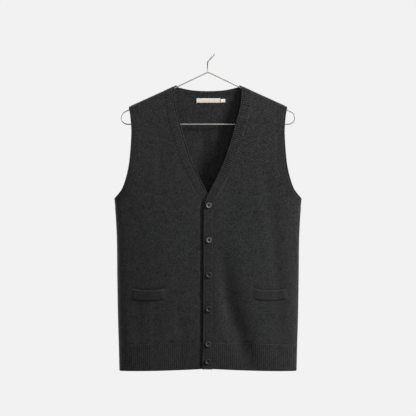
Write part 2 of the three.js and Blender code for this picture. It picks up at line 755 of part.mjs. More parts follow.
// The closed triangle of the hanger: two arms from the bend at the top, a round end on each side and
// the lower bar
function hangerFrame() {
  const upright = Math.PI / 2;
  const endZ = LOWER_BAR + END_BEND;
  const endX = (ARMS_CROSS - endZ - END_BEND / Math.cos(ARM_ANGLE)) / Math.tan(ARM_ANGLE);
  const outline = new THREE.Path();
  outline.absarc(0, ARMS_CROSS - APEX_BEND / Math.cos(ARM_ANGLE), APEX_BEND, upright + ARM_ANGLE, upright - ARM_ANGLE, true);
  outline.absarc(endX, endZ, END_BEND, upright - ARM_ANGLE, -upright, true);
  outline.absarc(-endX, endZ, END_BEND, -upright, ARM_ANGLE - 3 * upright, true);
  const middles = outline.getPoints(5).map((p) => new THREE.Vector3(p.x, 0, p.y));
  const shell = new Shell();
  const depthwise = new THREE.Vector3(0, 1, 0);
  const rings = middles.map((middle, i) => {
    const before = middles.at(i - 1);
    const after = middles[(i + 1) % middles.length];
    const ahead = after.clone().sub(middle).normalize().add(middle.clone().sub(before).normalize());
    const across = ahead.normalize().cross(depthwise);
    return Array.from({ length: WIRE_SIDES }, (_, k) => {
      const angle = (2 * Math.PI * k) / WIRE_SIDES;
      const normal = across.clone().multiplyScalar(Math.cos(angle)).addScaledVector(depthwise, Math.sin(angle));
      return shell.add({ point: middle, normal }, WIRE_RADIUS);
    });
  });
  rings.forEach((ring, i) => {
    const next = rings[(i + 1) % rings.length];
    for (let k = 0; k < WIRE_SIDES; k += 1) {
      const beside = (k + 1) % WIRE_SIDES;
      shell.quad(ring[k], next[k], next[beside], ring[beside]);
    }
  });
  return shell.geometry();
}

// Places on the hook by its depth and its distance along: up the shank, then leaning over
const SHANK_X = -1.2;
function hookPlace(depth, along) {
  if (along <= 0) return new THREE.Vector3(SHANK_X, depth, SHANK_TOP + along);
  return new THREE.Vector3(
    SHANK_X + along * Math.sin(HOOK_LEAN),
    depth,
    SHANK_TOP + along * Math.cos(HOOK_LEAN),
  );
}

// The hook: a straight shank, a bend forward, and an arc over the rail and down behind it
const SHANK_BEND = [
  { depth: 0, along: -14 },
  { depth: -3.5, along: -8 },
  { depth: -11.5, along: -3.5 },
];
const ARC = { from: degToRad(200), to: degToRad(-20), points: 11 };
function hangerHook() {
  const apex = ARMS_CROSS - APEX_BEND * (1 / Math.cos(ARM_ANGLE) - 1);
  const foot = apex + WIRE_RADIUS + LAY_GAP - SHANK_TOP;
  const places = [hookPlace(0, foot), ...SHANK_BEND.map(({ depth, along }) => hookPlace(depth, along))];
  for (let i = 0; i <= ARC.points; i += 1) {
    const angle = lerp(ARC.from, ARC.to, i / ARC.points);
    places.push(hookPlace(HOOK_RADIUS * Math.cos(angle), HOOK_MIDDLE + HOOK_RADIUS * Math.sin(angle)));
  }
  const corners = Array.from({ length: WIRE_SIDES }, (_, k) => {
    const angle = (2 * Math.PI * k) / WIRE_SIDES;
    return new THREE.Vector2(WIRE_RADIUS * Math.cos(angle), WIRE_RADIUS * Math.sin(angle));
  });
  return new THREE.ExtrudeGeometry(new THREE.Shape(corners), {
    steps: HOOK_STEPS,
    extrudePath: new THREE.CatmullRomCurve3(places),
  });
}

const garment = new THREE.Group();

function place(name, geometry, material) {
  const mesh = new THREE.Mesh(geometry, material);
  mesh.name = name;
  garment.add(mesh);
  return mesh;
}

const { jersey, rib, button, label, wire } = MATERIALS;
const fronts = new Map([
  [-1, place("right_front_panel", frontPanel(-1), jersey)],
  [1, place("left_front_panel", frontPanel(1), jersey)],
]);
place("back_panel", backPanel(), jersey);
place("right_front_hem_rib", frontHem(-1), rib);
place("left_front_hem_rib", frontHem(1), rib);
place("back_hem_rib", backHem(), rib);
place("right_armhole_band", armholeRibs(-1), rib);
place("left_armhole_band", armholeRibs(1), rib);
place("neck_and_front_band", neckAndFrontRibs(), rib);
for (const welt of WELTS) place(welt.name, pocketWelt(welt, fronts.get(welt.side)), rib);
for (const patch of LABELS) place(patch.name, labelPatch(patch), label);

const buttonShape = buttonGeometry();
BUTTON_PLACES.forEach(({ x, z }, i) => {
  const cloth = onCloth(x, z, { facing: -1, side: 1 }).point;
  place(`button_${i + 1}`, buttonShape, button).position.set(x, cloth.y - RIB_PEAK - LAY_GAP, z);
});
place("hanger_frame", hangerFrame(), wire);
place("hanger_hook", hangerHook(), wire);

// The rail touches the hook inside the top of its arc
const seat = hookPlace(0, HOOK_MIDDLE + HOOK_RADIUS - WIRE_RADIUS);
garment.position.copy(seat).negate();

const knittedVest = new THREE.Group();
knittedVest.add(garment);

export default knittedVest;
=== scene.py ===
"""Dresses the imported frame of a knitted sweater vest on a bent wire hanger.

The cloth is worked out in millimetres about the middle of the shoulders: x is towards the wearer's
left, the front faces -y and z is up. Each mesh is moved so that the seat of the hook, where the
hanger hangs on its rail, is the origin, and is then written in metres.
"""

from __future__ import annotations

import logging
import math
from dataclasses import dataclass, field
from enum import Enum
from typing import Any, Callable, Sequence

import bpy
import numpy as np
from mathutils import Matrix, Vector

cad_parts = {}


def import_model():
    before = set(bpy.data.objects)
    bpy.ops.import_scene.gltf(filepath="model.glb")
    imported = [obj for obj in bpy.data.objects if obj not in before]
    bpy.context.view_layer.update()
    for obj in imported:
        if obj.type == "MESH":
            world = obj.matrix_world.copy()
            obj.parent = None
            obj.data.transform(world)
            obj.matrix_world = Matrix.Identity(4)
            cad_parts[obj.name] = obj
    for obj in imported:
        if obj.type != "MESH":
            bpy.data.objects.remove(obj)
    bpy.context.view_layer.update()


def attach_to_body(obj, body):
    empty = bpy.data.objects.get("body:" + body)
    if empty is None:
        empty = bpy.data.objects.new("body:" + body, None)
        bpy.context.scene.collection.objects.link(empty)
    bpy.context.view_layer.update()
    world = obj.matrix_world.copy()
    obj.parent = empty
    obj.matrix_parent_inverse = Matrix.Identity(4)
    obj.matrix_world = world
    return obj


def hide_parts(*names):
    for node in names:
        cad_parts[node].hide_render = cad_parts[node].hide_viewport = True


log = logging.getLogger("sweater_vest")

MM = 0.001
BODY = "root"
Colour = tuple[float, float, float]
Array = np.ndarray


class Facing(Enum):
    """Which way a piece of the garment looks."""

    FRONT = -1
    BACK = 1


class Side(Enum):
    """Whose side of the garment a piece is on, as the wearer has it."""

    RIGHT = -1
    LEFT = 1

    @property
    def word(self) -> str:
        """The side's name in the names of nodes."""
        return self.name.lower()


class Anchor(Enum):
    """What a point of a strip's section is measured from."""

    SEAM = "seam"
    FREE = "free"
    SHARE = "share"


class Field:
    """A socket of a node tree that Python's operators work on, through Math nodes."""

    def __init__(self, tree: "Tree", socket: bpy.types.NodeSocket) -> None:
        """Wraps a socket.

        Args:
            tree: the tree that the socket is in.
            socket: an output socket that carries a number.
        """
        self.tree = tree
        self.socket = socket

    def maths(self, operation: str, *others: Any) -> "Field":
        """Adds one Math node.

        Args:
            operation: the node's operation.
            others: numbers or fields for its other sockets.

        Returns:
            The node's result.
        """
        values = dict(enumerate((self, *others)))
        return self.tree.field("ShaderNodeMath", {"operation": operation}, values)

    def __add__(self, other: Any) -> "Field":
        """The sum."""
        return self.maths("ADD", other)

    def __sub__(self, other: Any) -> "Field":
        """The difference."""
        return self.maths("SUBTRACT", other)

    def __rsub__(self, other: float) -> "Field":
        """A number less the field."""
        return (self * -1) + other

    def __mul__(self, other: Any) -> "Field":
        """The product."""
        return self.maths("MULTIPLY", other)

    def __truediv__(self, other: Any) -> "Field":
        """The quotient."""
        return self.maths("DIVIDE", other)

    def __pow__(self, other: Any) -> "Field":
        """The power."""
        return self.maths("POWER", other)

    __radd__ = __add__
    __rmul__ = __mul__

    def part(self) -> "Field":
        """What is left over a whole number."""
        return self.maths("FRACT")

    def floor(self) -> "Field":
        """The whole number below."""
        return self.maths("FLOOR")

    def size(self) -> "Field":
        """The value without its sign."""
        return self.maths("ABSOLUTE")

    def below(self, other: Any) -> "Field":
        """1 where the field is less than the other, else 0."""
        return self.maths("LESS_THAN", other)

    def at_least(self, other: Any) -> "Field":
        """The larger of the two."""
        return self.maths("MAXIMUM", other)

    def at_most(self, other: Any) -> "Field":
        """The smaller of the two."""
        return self.maths("MINIMUM", other)

    def arch(self) -> "Field":
        """A round arch over each whole step: 0 at its ends and 1 in its middle."""
        across = self.part() * 2 - 1
        return (1 - across * across).at_least(0) ** 0.5


class Tree:
    """A node tree that is filled node by node."""

    def __init__(self, nodes: bpy.types.NodeTree) -> None:
        """Clears the tree.

        Args:
            nodes: the tree to fill.
        """
        self.nodes = nodes
        nodes.nodes.clear()

    def node(
        self,
        kind: str,
        settings: dict[str, Any] | None = None,
        inputs: dict[Any, Any] | None = None,
    ) -> bpy.types.Node:
        """Adds a node.

        Args:
            kind: the node's type.
            settings: what is set on the node itself, before its sockets.
            inputs: values, fields or sockets, by the name or number of the node's socket.

        Returns:
            The node.
        """
        made = self.nodes.nodes.new(kind)
        for name, value in (settings or {}).items():
            setattr(made, name, value)
        for name, value in (inputs or {}).items():
            socket = made.inputs[name]
            if isinstance(value, Field):
                self.nodes.links.new(value.socket, socket)
            elif isinstance(value, bpy.types.NodeSocket):
                self.nodes.links.new(value, socket)
            else:
                socket.default_value = value
        return made

    def field(
        self,
        kind: str,
        settings: dict[str, Any] | None = None,
        inputs: dict[Any, Any] | None = None,
        output: Any = 0,
    ) -> Field:
        """Adds a node and wraps one of its outputs.

        Args:
            kind: the node's type.
            settings: what is set on the node itself.
            inputs: values or links of its sockets.
            output: the name or number of the output.

        Returns:
            The output as a field.
        """
        return Field(self, self.node(kind, settings, inputs).outputs[output])

    def blend(self, first: Any, second: Any, factor: Any) -> bpy.types.NodeSocket:
        """Mixes two colours.

        Args:
            first: the colour or socket at factor 0.
            second: the colour or socket at factor 1.
            factor: a number or field.

        Returns:
            The mixed colour's socket.
        """
        settings = {"data_type": "RGBA", "blend_type": "MIX"}
        return self.node("ShaderNodeMix", settings, {0: factor, 6: first, 7: second}).outputs[2]


def opaque(colour: Colour) -> tuple[float, float, float, float]:
    """A colour with its alpha."""
    return (*colour, 1.0)


def new_material(name: str) -> tuple[bpy.types.Material, Tree]:
    """Starts a material.

    Args:
        name: its name.

    Returns:
        The material and its empty tree.
    """
    material = bpy.data.materials.new(name)
    material.use_nodes = True
    return material, Tree(material.node_tree)


def surface(tree: Tree, sockets: dict[str, Any]) -> None:
    """Ends a material's tree with its shader.

    Args:
        tree: the material's tree.
        sockets: values or links of the shader's sockets.
    """
    shader = tree.node("ShaderNodeBsdfPrincipled", inputs=sockets)
    tree.node("ShaderNodeOutputMaterial", inputs={"Surface": shader.outputs[0]})


@dataclass(frozen=True)
class KnitFinish:
    """Heathered wool yarn, knitted, with painted shade in the gaps between its stitches. Wales run along the second
    direction of the piece's UV map.
    """

    name: str
    yarn: Colour
    fleck: Colour
    wale: float = 2.4
    course: float = 1.75
    lean: float = 0.85
    relief: float = 0.55
    painted_gap_shade: float = 0.6
    mottle: float = 0.9
    sheen: float = 0.05
    roughness: float = 0.92

    def build(self) -> bpy.types.Material:
        """Makes the material.

        Returns:
            The material.
        """
        material, tree = new_material(self.name)
        place = tree.node("ShaderNodeSeparateXYZ", inputs={0: tree.node("ShaderNodeUVMap").outputs[0]})
        across = Field(tree, place.outputs[0]) * (1 / (self.wale * MM))
        along = Field(tree, place.outputs[1]) * (1 / (self.course * MM))
        aside = (across.part() * 2 - 1).size()
        climb = along - aside * self.lean
        stitch = climb.arch() * (aside.arch() ** 0.6)

        spots = tree.node("ShaderNodeTexCoord").outputs["Object"]
        cell = tree.node("ShaderNodeCombineXYZ", inputs={0: across.floor(), 1: climb.floor(), 2: 0.0})
        each = tree.field("ShaderNodeTexWhiteNoise", {"noise_dimensions": "3D"}, {"Vector": cell.outputs[0]})
        fibres = tree.field(
            "ShaderNodeTexNoise", inputs={"Vector": spots, "Scale": 1500.0, "Detail": 3.0, "Roughness": 0.7}
        )
        clouds = tree.field("ShaderNodeTexNoise", inputs={"Vector": spots, "Scale": 34.0, "Detail": 4.0})
        heather = (each * 0.9 + fibres * 1.1 + clouds * 0.15 - 1.05) * self.mottle + 0.45
        shade = tree.blend(opaque(self.yarn), opaque(self.fleck), heather.at_least(0).at_most(1))
        # Painted shade: the gaps between stitches are mixed towards a darker yarn colour.
        gap_shade_share = (1 - stitch) * self.painted_gap_shade
        dark = tuple(0.35 * part for part in self.yarn)
        colour = tree.blend(shade, opaque(dark), gap_shade_share)

        height = stitch + fibres * 0.35
        bump = tree.node(
            "ShaderNodeBump", inputs={"Strength": 1.0, "Distance": self.relief * MM, "Height": height}
        )
        surface(
            tree,
            {
                "Base Color": colour,
                "Roughness": self.roughness,
                "Specular IOR Level": 0.06,
                "Sheen Weight": self.sheen,
                "Sheen Roughness": 0.45,
                "Sheen Tint": (0.75, 0.76, 0.8, 1.0),
                "Normal": bump.outputs[0],
            },
        )
        return material


@dataclass(frozen=True)
class ThreadFinish:
    """Plied sewing thread or yarn: fine ridges round it, in object coordinates, with painted shade in the grooves
    between them.
    """

    name: str
    colour: Colour
    ply: float = 0.45
    roughness: float = 0.8

    def build(self) -> bpy.types.Material:
        """Makes the material.

        Returns:
            The material.
        """
        material, tree = new_material(self.name)
        spots = tree.node("ShaderNodeTexCoord").outputs["Object"]
        place = tree.node("ShaderNodeSeparateXYZ", inputs={0: spots})
        slant = Field(tree, place.outputs[0]) + Field(tree, place.outputs[2]) * 1.6
        twist = (slant * (1 / (self.ply * MM))).arch()
        hairs = tree.field("ShaderNodeTexNoise", inputs={"Vector": spots, "Scale": 2400.0, "Detail": 2.0})
        # Painted shade: the grooves between the plies are mixed towards a darker colour; the hair noise varies the
        # tone at random.
        dark = tuple(0.45 * part for part in self.colour)
        colour = tree.blend(opaque(dark), opaque(self.colour), (twist * 0.6 + hairs * 0.8).at_most(1))
        bump = tree.node(
            "ShaderNodeBump", inputs={"Strength": 0.7, "Distance": 0.1 * MM, "Height": twist + hairs * 0.5}
        )
        surface(
            tree,
            {
                "Base Color": colour,
                "Roughness": self.roughness,
                "Specular IOR Level": 0.1,
                "Sheen Weight": 0.05,
                "Normal": bump.outputs[0],
            },
        )
        return material


@dataclass(frozen=True)
class WovenFinish:
    """A woven satin tape for labels, with its weft and warp in the piece's UV map: painted shade darkens it between
    the threads, and soil darkens it in patches.
    """

    name: str
    colour: Colour
    shade_and_soil: Colour
    weft: float = 0.32
    warp: float = 0.5

    def build(self) -> bpy.types.Material:
        """Makes the material.

        Returns:
            The material.
        """
        material, tree = new_material(self.name)
        place = tree.node("ShaderNodeSeparateXYZ", inputs={0: tree.node("ShaderNodeUVMap").outputs[0]})
        across = Field(tree, place.outputs[0]) * (1 / (self.warp * MM))
        along = Field(tree, place.outputs[1]) * (1 / (self.weft * MM))
        shift = across.floor() * 0.4
        float_over = (along + shift).arch()
        ends = across.arch()
        height = float_over * 0.7 + ends * 0.3
        spots = tree.node("ShaderNodeTexCoord").outputs["Object"]
        soil = tree.field("ShaderNodeTexNoise", inputs={"Vector": spots, "Scale": 160.0, "Detail": 3.0})
        # Painted shade: the low parts of the weave are mixed towards the darker colour; the soil noise darkens it in
        # random patches.
        colour = tree.blend(opaque(self.shade_and_soil), opaque(self.colour), (height * 0.6 + soil * 0.9).at_most(1))
        bump = tree.node(
            "ShaderNodeBump", inputs={"Strength": 0.5, "Distance": 0.08 * MM, "Height": height}
        )
        surface(
            tree,
            {"Base Color": colour, "Roughness": 0.55, "Sheen Weight": 0.15, "Normal": bump.outputs[0]},
        )
        return material


@dataclass(frozen=True)
class ResinFinish:
    """Cast button resin: cloudy grey, with a glossy rim that carries a painted highlight."""

    name: str
    dark: Colour
    light: Colour
    rim: Colour
    gloss: float = 0.24

    def build(self) -> bpy.types.Material:
        """Makes the material.

        Returns:
            The material.
        """
        material, tree = new_material(self.name)
        spots = tree.node("ShaderNodeTexCoord").outputs["Object"]
        clouds = tree.field(
            "ShaderNodeTexNoise", inputs={"Vector": spots, "Scale": 190.0, "Detail": 5.0, "Distortion": 1.4}
        )
        cast = tree.blend(opaque(self.dark), opaque(self.light), clouds * 0.5)
        # Painted highlight: a ring on the button's face is mixed towards the pale rim colour.
        rim = tree.field("ShaderNodeAttribute", {"attribute_name": "painted_rim_highlight"}, output=2)
        colour = tree.blend(cast, opaque(self.rim), rim)
        scratches = tree.field("ShaderNodeTexNoise", inputs={"Vector": spots, "Scale": 1300.0, "Detail": 2.0})
        bump = tree.node(
            "ShaderNodeBump", inputs={"Strength": 0.25, "Distance": 0.05 * MM, "Height": scratches}
        )
        surface(
            tree,
            {
                "Base Color": colour,
                "Roughness": scratches * 0.16 + self.gloss,
                "Specular IOR Level": 0.08,
                "Coat Weight": 0.02,
                "Coat Roughness": 0.12,
                "Normal": bump.outputs[0],
            },
        )
        return material


@dataclass(frozen=True)
class WireFinish:
    """Zinc-plated steel wire with drawing lines and dull patches."""

    name: str
    bright: Colour
    dull: Colour

    def build(self) -> bpy.types.Material:
        """Makes the material.

        Returns:
            The material.
        """
        material, tree = new_material(self.name)
        spots = tree.node("ShaderNodeTexCoord").outputs["Object"]
        patches = tree.field("ShaderNodeTexNoise", inputs={"Vector": spots, "Scale": 60.0, "Detail": 5.0})
        lines = tree.field("ShaderNodeTexNoise", inputs={"Vector": spots, "Scale": 1800.0, "Detail": 2.0})
        colour = tree.blend(opaque(self.bright), opaque(self.dull), patches)
        bump = tree.node(
            "ShaderNodeBump", inputs={"Strength": 0.2, "Distance": 0.04 * MM, "Height": lines}
        )
        surface(
            tree,
            {
                "Base Color": colour,
                "Metallic": 0.55,
                "Roughness": patches * 0.2 + 0.5,
                "Normal": bump.outputs[0],
            },
        )
        return material


@dataclass(frozen=True)
class StudioFinish:
    """The studio's dark paint, which glows so that the wall stays plain, pale and even; the glow also lights the
    garment, and is weaker on the middle of the floor.
    """

    name: str
    paint: Colour
    wall_glow: float
    floor_glow: float
    floor_until: float = 2.0
    wall_from: float = 7.6

    def build(self) -> bpy.types.Material:
        """Makes the material.

        Returns:
            The material.
        """
        material, tree = new_material(self.name)
        spots = tree.node("ShaderNodeTexCoord").outputs["Object"]
        place = tree.node("ShaderNodeSeparateXYZ", inputs={0: spots})
        x, y = Field(tree, place.outputs[0]), Field(tree, place.outputs[1])
        out = (x * x + y * y) ** 0.5
        up = ((out - self.floor_until) / (self.wall_from - self.floor_until)).at_least(0).at_most(1)
        share = self.floor_glow / self.wall_glow
        glow = tree.blend((share, share, share, 1.0), (1.0, 1.0, 1.0, 1.0), up)
        surface(
            tree,
            {
                "Base Color": opaque(self.paint),
                "Roughness": 1.0,
                "Specular IOR Level": 0.0,
                "Emission Color": glow,
                "Emission Strength": self.wall_glow,
            },
        )
        return material


class Curve:
    """A smooth curve through the rows of a table, held at its ends."""

    def __init__(self, starts: Sequence[float], values: Sequence[float]) -> None:
        """Works out the slope at each row from its neighbours.

        Args:
            starts: where the rows are, rising.
            values: the value of each row.
        """
        self.starts = np.asarray(starts, float)
        self.values = np.asarray(values, float)
        rows = np.arange(len(self.starts))
        before = np.maximum(rows - 1, 0)
        after = np.minimum(rows + 1, len(rows) - 1)
        rise = self.values[after] - self.values[before]
        self.slopes = rise / (self.starts[after] - self.starts[before])

    def __call__(self, where: Any) -> Array:
        """The curve's values.

        Args:
            where: one place or many.

        Returns:
            A value for each place.
        """
        where = np.asarray(where, float)
        row = np.searchsorted(self.starts[1:-1], where, side="left")
        span = self.starts[row + 1] - self.starts[row]
        t = np.clip((where - self.starts[row]) / span, 0, 1)
        keep = (1 + 2 * t) * (1 - t) ** 2
        ends = keep * self.values[row] + (1 - keep) * self.values[row + 1]
        leave = t * (1 - t) ** 2 * self.slopes[row]
        arrive = t * t * (t - 1) * self.slopes[row + 1]
        return ends + span * (leave + arrive)


def mix(first: Any, second: Any, share: Any) -> Any:
    """What lies a share of the way from the first value to the second."""
    return first + (second - first) * share


def smooth(value: Any, low: float, high: float) -> Array:
    """Rises smoothly from 0 at low to 1 at high."""
    t = np.clip((np.asarray(value, float) - low) / (high - low), 0, 1)
    return t * t * (3 - 2 * t)


@dataclass(frozen=True)
class Fold:
    """A soft trough in the cloth, or a ridge where its depth is negative, in millimetres."""

    start: tuple[float, float]
    end: tuple[float, float]
    bow: float
    depth: float
    spread: float

    def sink(self, x: Array, z: Array) -> Array:
        """How far the fold sinks the cloth.

        Args:
            x: places across the garment.
            z: their heights.

        Returns:
            The depth at each place.
        """
        along = np.clip((z - self.start[1]) / (self.end[1] - self.start[1]), 0, 1)
        middle = mix(self.start[0], self.end[0], along) + 4 * self.bow * along * (1 - along)
        fade = 1 - np.abs(2 * along - 1) ** 3
        return self.depth * fade * np.exp(-(((x - middle) / self.spread) ** 2))


@dataclass(frozen=True)
class Pocket:
    """A pocket's welt: a ribbed strip whose ends lean out and whose middle sags."""

    side: Side
    middle: float
    top: float = -494.5
    bottom: float = -518.0
    top_half: float = 38.0
    bottom_half: float = 42.5
    sag: float = 4.0

    def place(self, across: Array, down: Array) -> tuple[Array, Array]:
        """A place on the welt.

        Args:
            across: from -1 at one end to 1 at the other.
            down: from 0 along the top to 1 along the bottom.

        Returns:
            Its x and its height.
        """
        sink = self.sag * (across * across - 0.5)
        half = mix(self.top_half, self.bottom_half, down)
        return self.side.value * self.middle + half * across, mix(self.top, self.bottom, down) + sink

    def mouth(self, x: Array, z: Array) -> Array:
        """How far the cloth sinks behind the top of the welt, and puckers at its upper corners.

        Args:
            x: places across the garment.
            z: their heights.

        Returns:
            The depth at each place.
        """
        across = (x - self.side.value * self.middle) / self.top_half
        top = self.top + self.sag * (np.minimum(across * across, 1.2) - 0.5)
        within = 1 - smooth(np.abs(across), 0.88, 1.04)
        gape = 2.6 * within * np.exp(-(((z - top - 1) / 3.4) ** 2))
        corner = np.exp(-(((np.abs(across) - 1.0) * self.top_half / 5) ** 2 + ((z - top - 3) / 6) ** 2))
        return gape + 1.5 * corner


@dataclass(frozen=True)
class Places:
    """Points of the middle of the cloth with their outward normals."""

    points: Array
    normals: Array

    def lifted(self, height: Any) -> Array:
        """The points moved out along their normals."""
        return self.points + self.normals * np.asarray(height)[..., None]


@dataclass(frozen=True)
class ClothForm:
    """The shape in which the cloth hangs, as its solids have it, with finer folds added."""

    cloth_half: float = 1.2
    neck_point: float = 75.6
    shoulder_slope: float = 0.4527
    crest_radius: float = 4.0
    front_bulge: float = 24.0
    back_bulge: float = 16.0
    bulge_drop: float = 150.0
    side_rounding: float = 3.6
    over_lift: float = 2.8
    under_lift: float = -1.0
    lap_near: float = 15.0
    lap_far: float = 55.0
    lap_low: float = -255.0
    lap_high: float = -215.0
    hem_top: float = -622.5
    hem_bottom: float = -684.5
    hem_half: float = 215.0
    hem_sag: float = 6.5
    half_widths: tuple[tuple[float, float], ...] = (
        (-691, 213),
        (-629, 214.5),
        (-568, 216.4),
        (-471, 218.1),
        (-375, 219.2),
        (-326, 221.4),
        (-296, 223.6),
        (-274, 226),
        (-254, 236),
        (-230, 252),
        (-200, 272),
        (-150, 300),
        (0, 380),
    )
    sways: tuple[tuple[float, float], ...] = ((-684, -1.8), (-520, 0), (-290, 0.7), (-215, 0), (0, 0))
    front_folds: tuple[Fold, ...] = (
        Fold((-2, -375), (106, -695), -3, 8.6, 24),
        Fold((156, -225), (182, -640), -3, 4.6, 16),
        Fold((-172, -450), (-172, -660), 0, 2.5, 14),
        Fold((-198, -250), (-188, -440), 0, 2.4, 14),
        Fold((-62, -520), (-84, -745), 3, 2.2, 20),
        Fold((62, -330), (144, -705), -4, -5.4, 38),
        Fold((30, -520), (62, -690), -4, -0.6, 16),
        Fold((138, -190), (150, -400), -2, 1.6, 14),
        Fold((-110, -300), (-104, -620), 4, -1.8, 46),
    )
    back_folds: tuple[Fold, ...] = (
        Fold((-14, -90), (-18, -440), 0, -3, 16),
        Fold((14, -90), (18, -440), 0, 3, 16),
        Fold((58, -360), (96, -750), 4, 4, 19),
        Fold((-88, -400), (-124, -750), -4, 4.5, 18),
        Fold((-176, -270), (-186, -620), 0, 3.5, 15),
        Fold((178, -300), (187, -640), 0, 3.5, 15),
    )
    front_creases: tuple[Fold, ...] = (
        Fold((150, -150), (134, -330), 3, 0.9, 9),
        Fold((196, -300), (168, -372), -3, 1.1, 7),
        Fold((206, -330), (188, -430), -2, 0.9, 8),
        Fold((92, -300), (128, -520), 4, -0.9, 14),
        Fold((150, -540), (170, -655), 2, 1.0, 10),
        Fold((52, -470), (66, -660), -2, -1.1, 9),
        Fold((-118, -120), (-106, -300), -3, 0.8, 10),
        Fold((-190, -300), (-160, -380), 4, 1.0, 8),
        Fold((-44, -330), (-52, -520), 3, 0.7, 12),
        Fold((-124, -545), (-132, -668), -2, 0.9, 10),
        Fold((-146, -360), (-138, -480), 2, -0.7, 12),
        Fold((-36, -560), (-40, -690), 1, 0.9, 8),
    )
    back_creases: tuple[Fold, ...] = (
        Fold((-62, -130), (-74, -330), -3, 0.9, 10),
        Fold((66, -110), (60, -300), 3, 0.8, 11),
        Fold((190, -310), (160, -390), -3, 1.1, 8),
        Fold((-196, -315), (-166, -400), 3, 1.0, 8),
        Fold((20, -420), (28, -640), 2, -0.8, 13),
        Fold((-40, -480), (-52, -690), -2, 0.9, 10),
        Fold((140, -470), (150, -690), 3, 0.8, 11),
        Fold((-150, -520), (-146, -680), 1, -0.9, 12),
    )
    pockets: tuple[Pocket, ...] = (Pocket(Side.RIGHT, 143.5), Pocket(Side.LEFT, 150.0))
    buttons: tuple[tuple[float, float], ...] = (
        (1.9, -291.1),
        (2.2, -374.5),
        (1.9, -458),
        (1.5, -540.9),
        (0.5, -625.1),
        (-0.2, -666.9),
    )
    lap_gap: float = 7.0
    lap_gap_x: float = -13.6
    lap_gap_spread: float = 3.3
    half_width: Curve = field(init=False)
    sway: Curve = field(init=False)

    def __post_init__(self) -> None:
        """Makes the curves of the tables."""
        object.__setattr__(self, "half_width", Curve(*zip(*self.half_widths)))
        object.__setattr__(self, "sway", Curve(*zip(*self.sways)))

    @property
    def crest_turn(self) -> float:
        """How far the cloth runs round the crest of the shoulder on one side."""
        return self.crest_radius * math.pi / 2

    def ridge(self, x: Array) -> Array:
        """Height of the outside of the cloth along the shoulders."""
        return -self.shoulder_slope * np.maximum(np.abs(x) - self.neck_point, 0)

    def reach(self, x: Array, z: Array) -> Array:
        """Distance over the cloth from the shoulder line down to a height.

        Args:
            x: places across the garment.
            z: their heights.

        Returns:
            The distances.
        """
        drop = np.maximum(self.ridge(x) - self.cloth_half - z, 0)
        round_part = self.crest_radius * np.arccos(np.clip(1 - drop / self.crest_radius, -1, 1))
        return np.where(drop >= self.crest_radius, self.crest_turn + drop - self.crest_radius, round_part)

    def drop(self, reach: Array) -> Array:
        """How far below the shoulder line a distance over the cloth ends."""
        turn = np.minimum(np.abs(reach) / self.crest_radius, math.pi / 2)
        beyond = np.maximum(np.abs(reach) - self.crest_turn, 0)
        return self.crest_radius * (1 - np.cos(turn)) + beyond

    def height(self, x: Array, reach: Array) -> Array:
        """The height of a place by its distance over the cloth from the shoulder line."""
        return self.ridge(x) - self.cloth_half - self.drop(reach)

    def openness(self, x: Array, z: Array) -> Array:
        """1 in the middle of the body, 0 on the fold down each side."""
        return 1 - (np.abs(x) / self.half_width(z)) ** self.side_rounding

    def hem_line(self, x: Array) -> Array:
        """Height of the seam between the body and its ribbed hem."""
        return self.hem_top - self.hem_sag * (x / self.hem_half) ** 2

    def hem_edge(self, x: Array) -> Array:
        """Height of the hem's free edge."""
        left = 1 - np.minimum(np.abs(x) / self.hem_half, 1)
        return self.hem_bottom - self.hem_sag * (1 - left**2)

    def gathers(self, x: Array, z: Array) -> Array:
        """The roll of the body over its tighter hem, with small uneven gathers.

        Args:
            x: places across the garment.
            z: their heights.

        Returns:
            How far they lift the cloth.
        """
        above = z - self.hem_line(x)
        roll = 1.1 * np.exp(-(((above - 9) / 11) ** 2))
        wave = np.sin(x / 4.3) * np.sin(x / 15.7 + 1.3) + 0.6 * np.sin(x / 6.1 + 2)
        return roll + 0.4 * wave * np.exp(-np.abs(above) / 10)

    def relief(self, x: Array, z: Array, facing: Array, side: Array, mouths: bool = True) -> Array:
        """Relief of the cloth outwards: its folds, and the lift of one front over the other.

        Args:
            x: places across the garment.
            z: their heights.
            facing: -1 in front and 1 behind.
            side: -1 on the right front and 1 on the left one.
            mouths: whether the pockets' mouths sink the cloth.

        Returns:
            The relief at each place.
        """
        open_here = self.openness(x, z)
        front = sum(fold.sink(x, z) for fold in (*self.front_folds, *self.front_creases))
        back = sum(fold.sink(x, z) for fold in (*self.back_folds, *self.back_creases))
        if mouths:
            front = front + sum(pocket.mouth(x, z) for pocket in self.pockets)
        near = 1 - smooth(side * x, self.lap_near, self.lap_far)
        low = 1 - smooth(z, self.lap_low, self.lap_high)
        gap = self.lap_gap * np.exp(-(((x - self.lap_gap_x) / self.lap_gap_spread) ** 2))
        dents = sum(0.9 * np.exp(-(((x - bx) ** 2 + (z - bz) ** 2) / 64)) for bx, bz in self.buttons)
        lapped = np.where(side < 0, gap * (1 - smooth(z, -292, -272)), dents)
        lift = np.where(side > 0, self.over_lift, self.under_lift)
        roll = self.gathers(x, z) * open_here
        in_front = lift * near * low - lapped + (roll - front * open_here) * (1 - near)
        return np.where(facing > 0, roll - back * open_here, in_front)

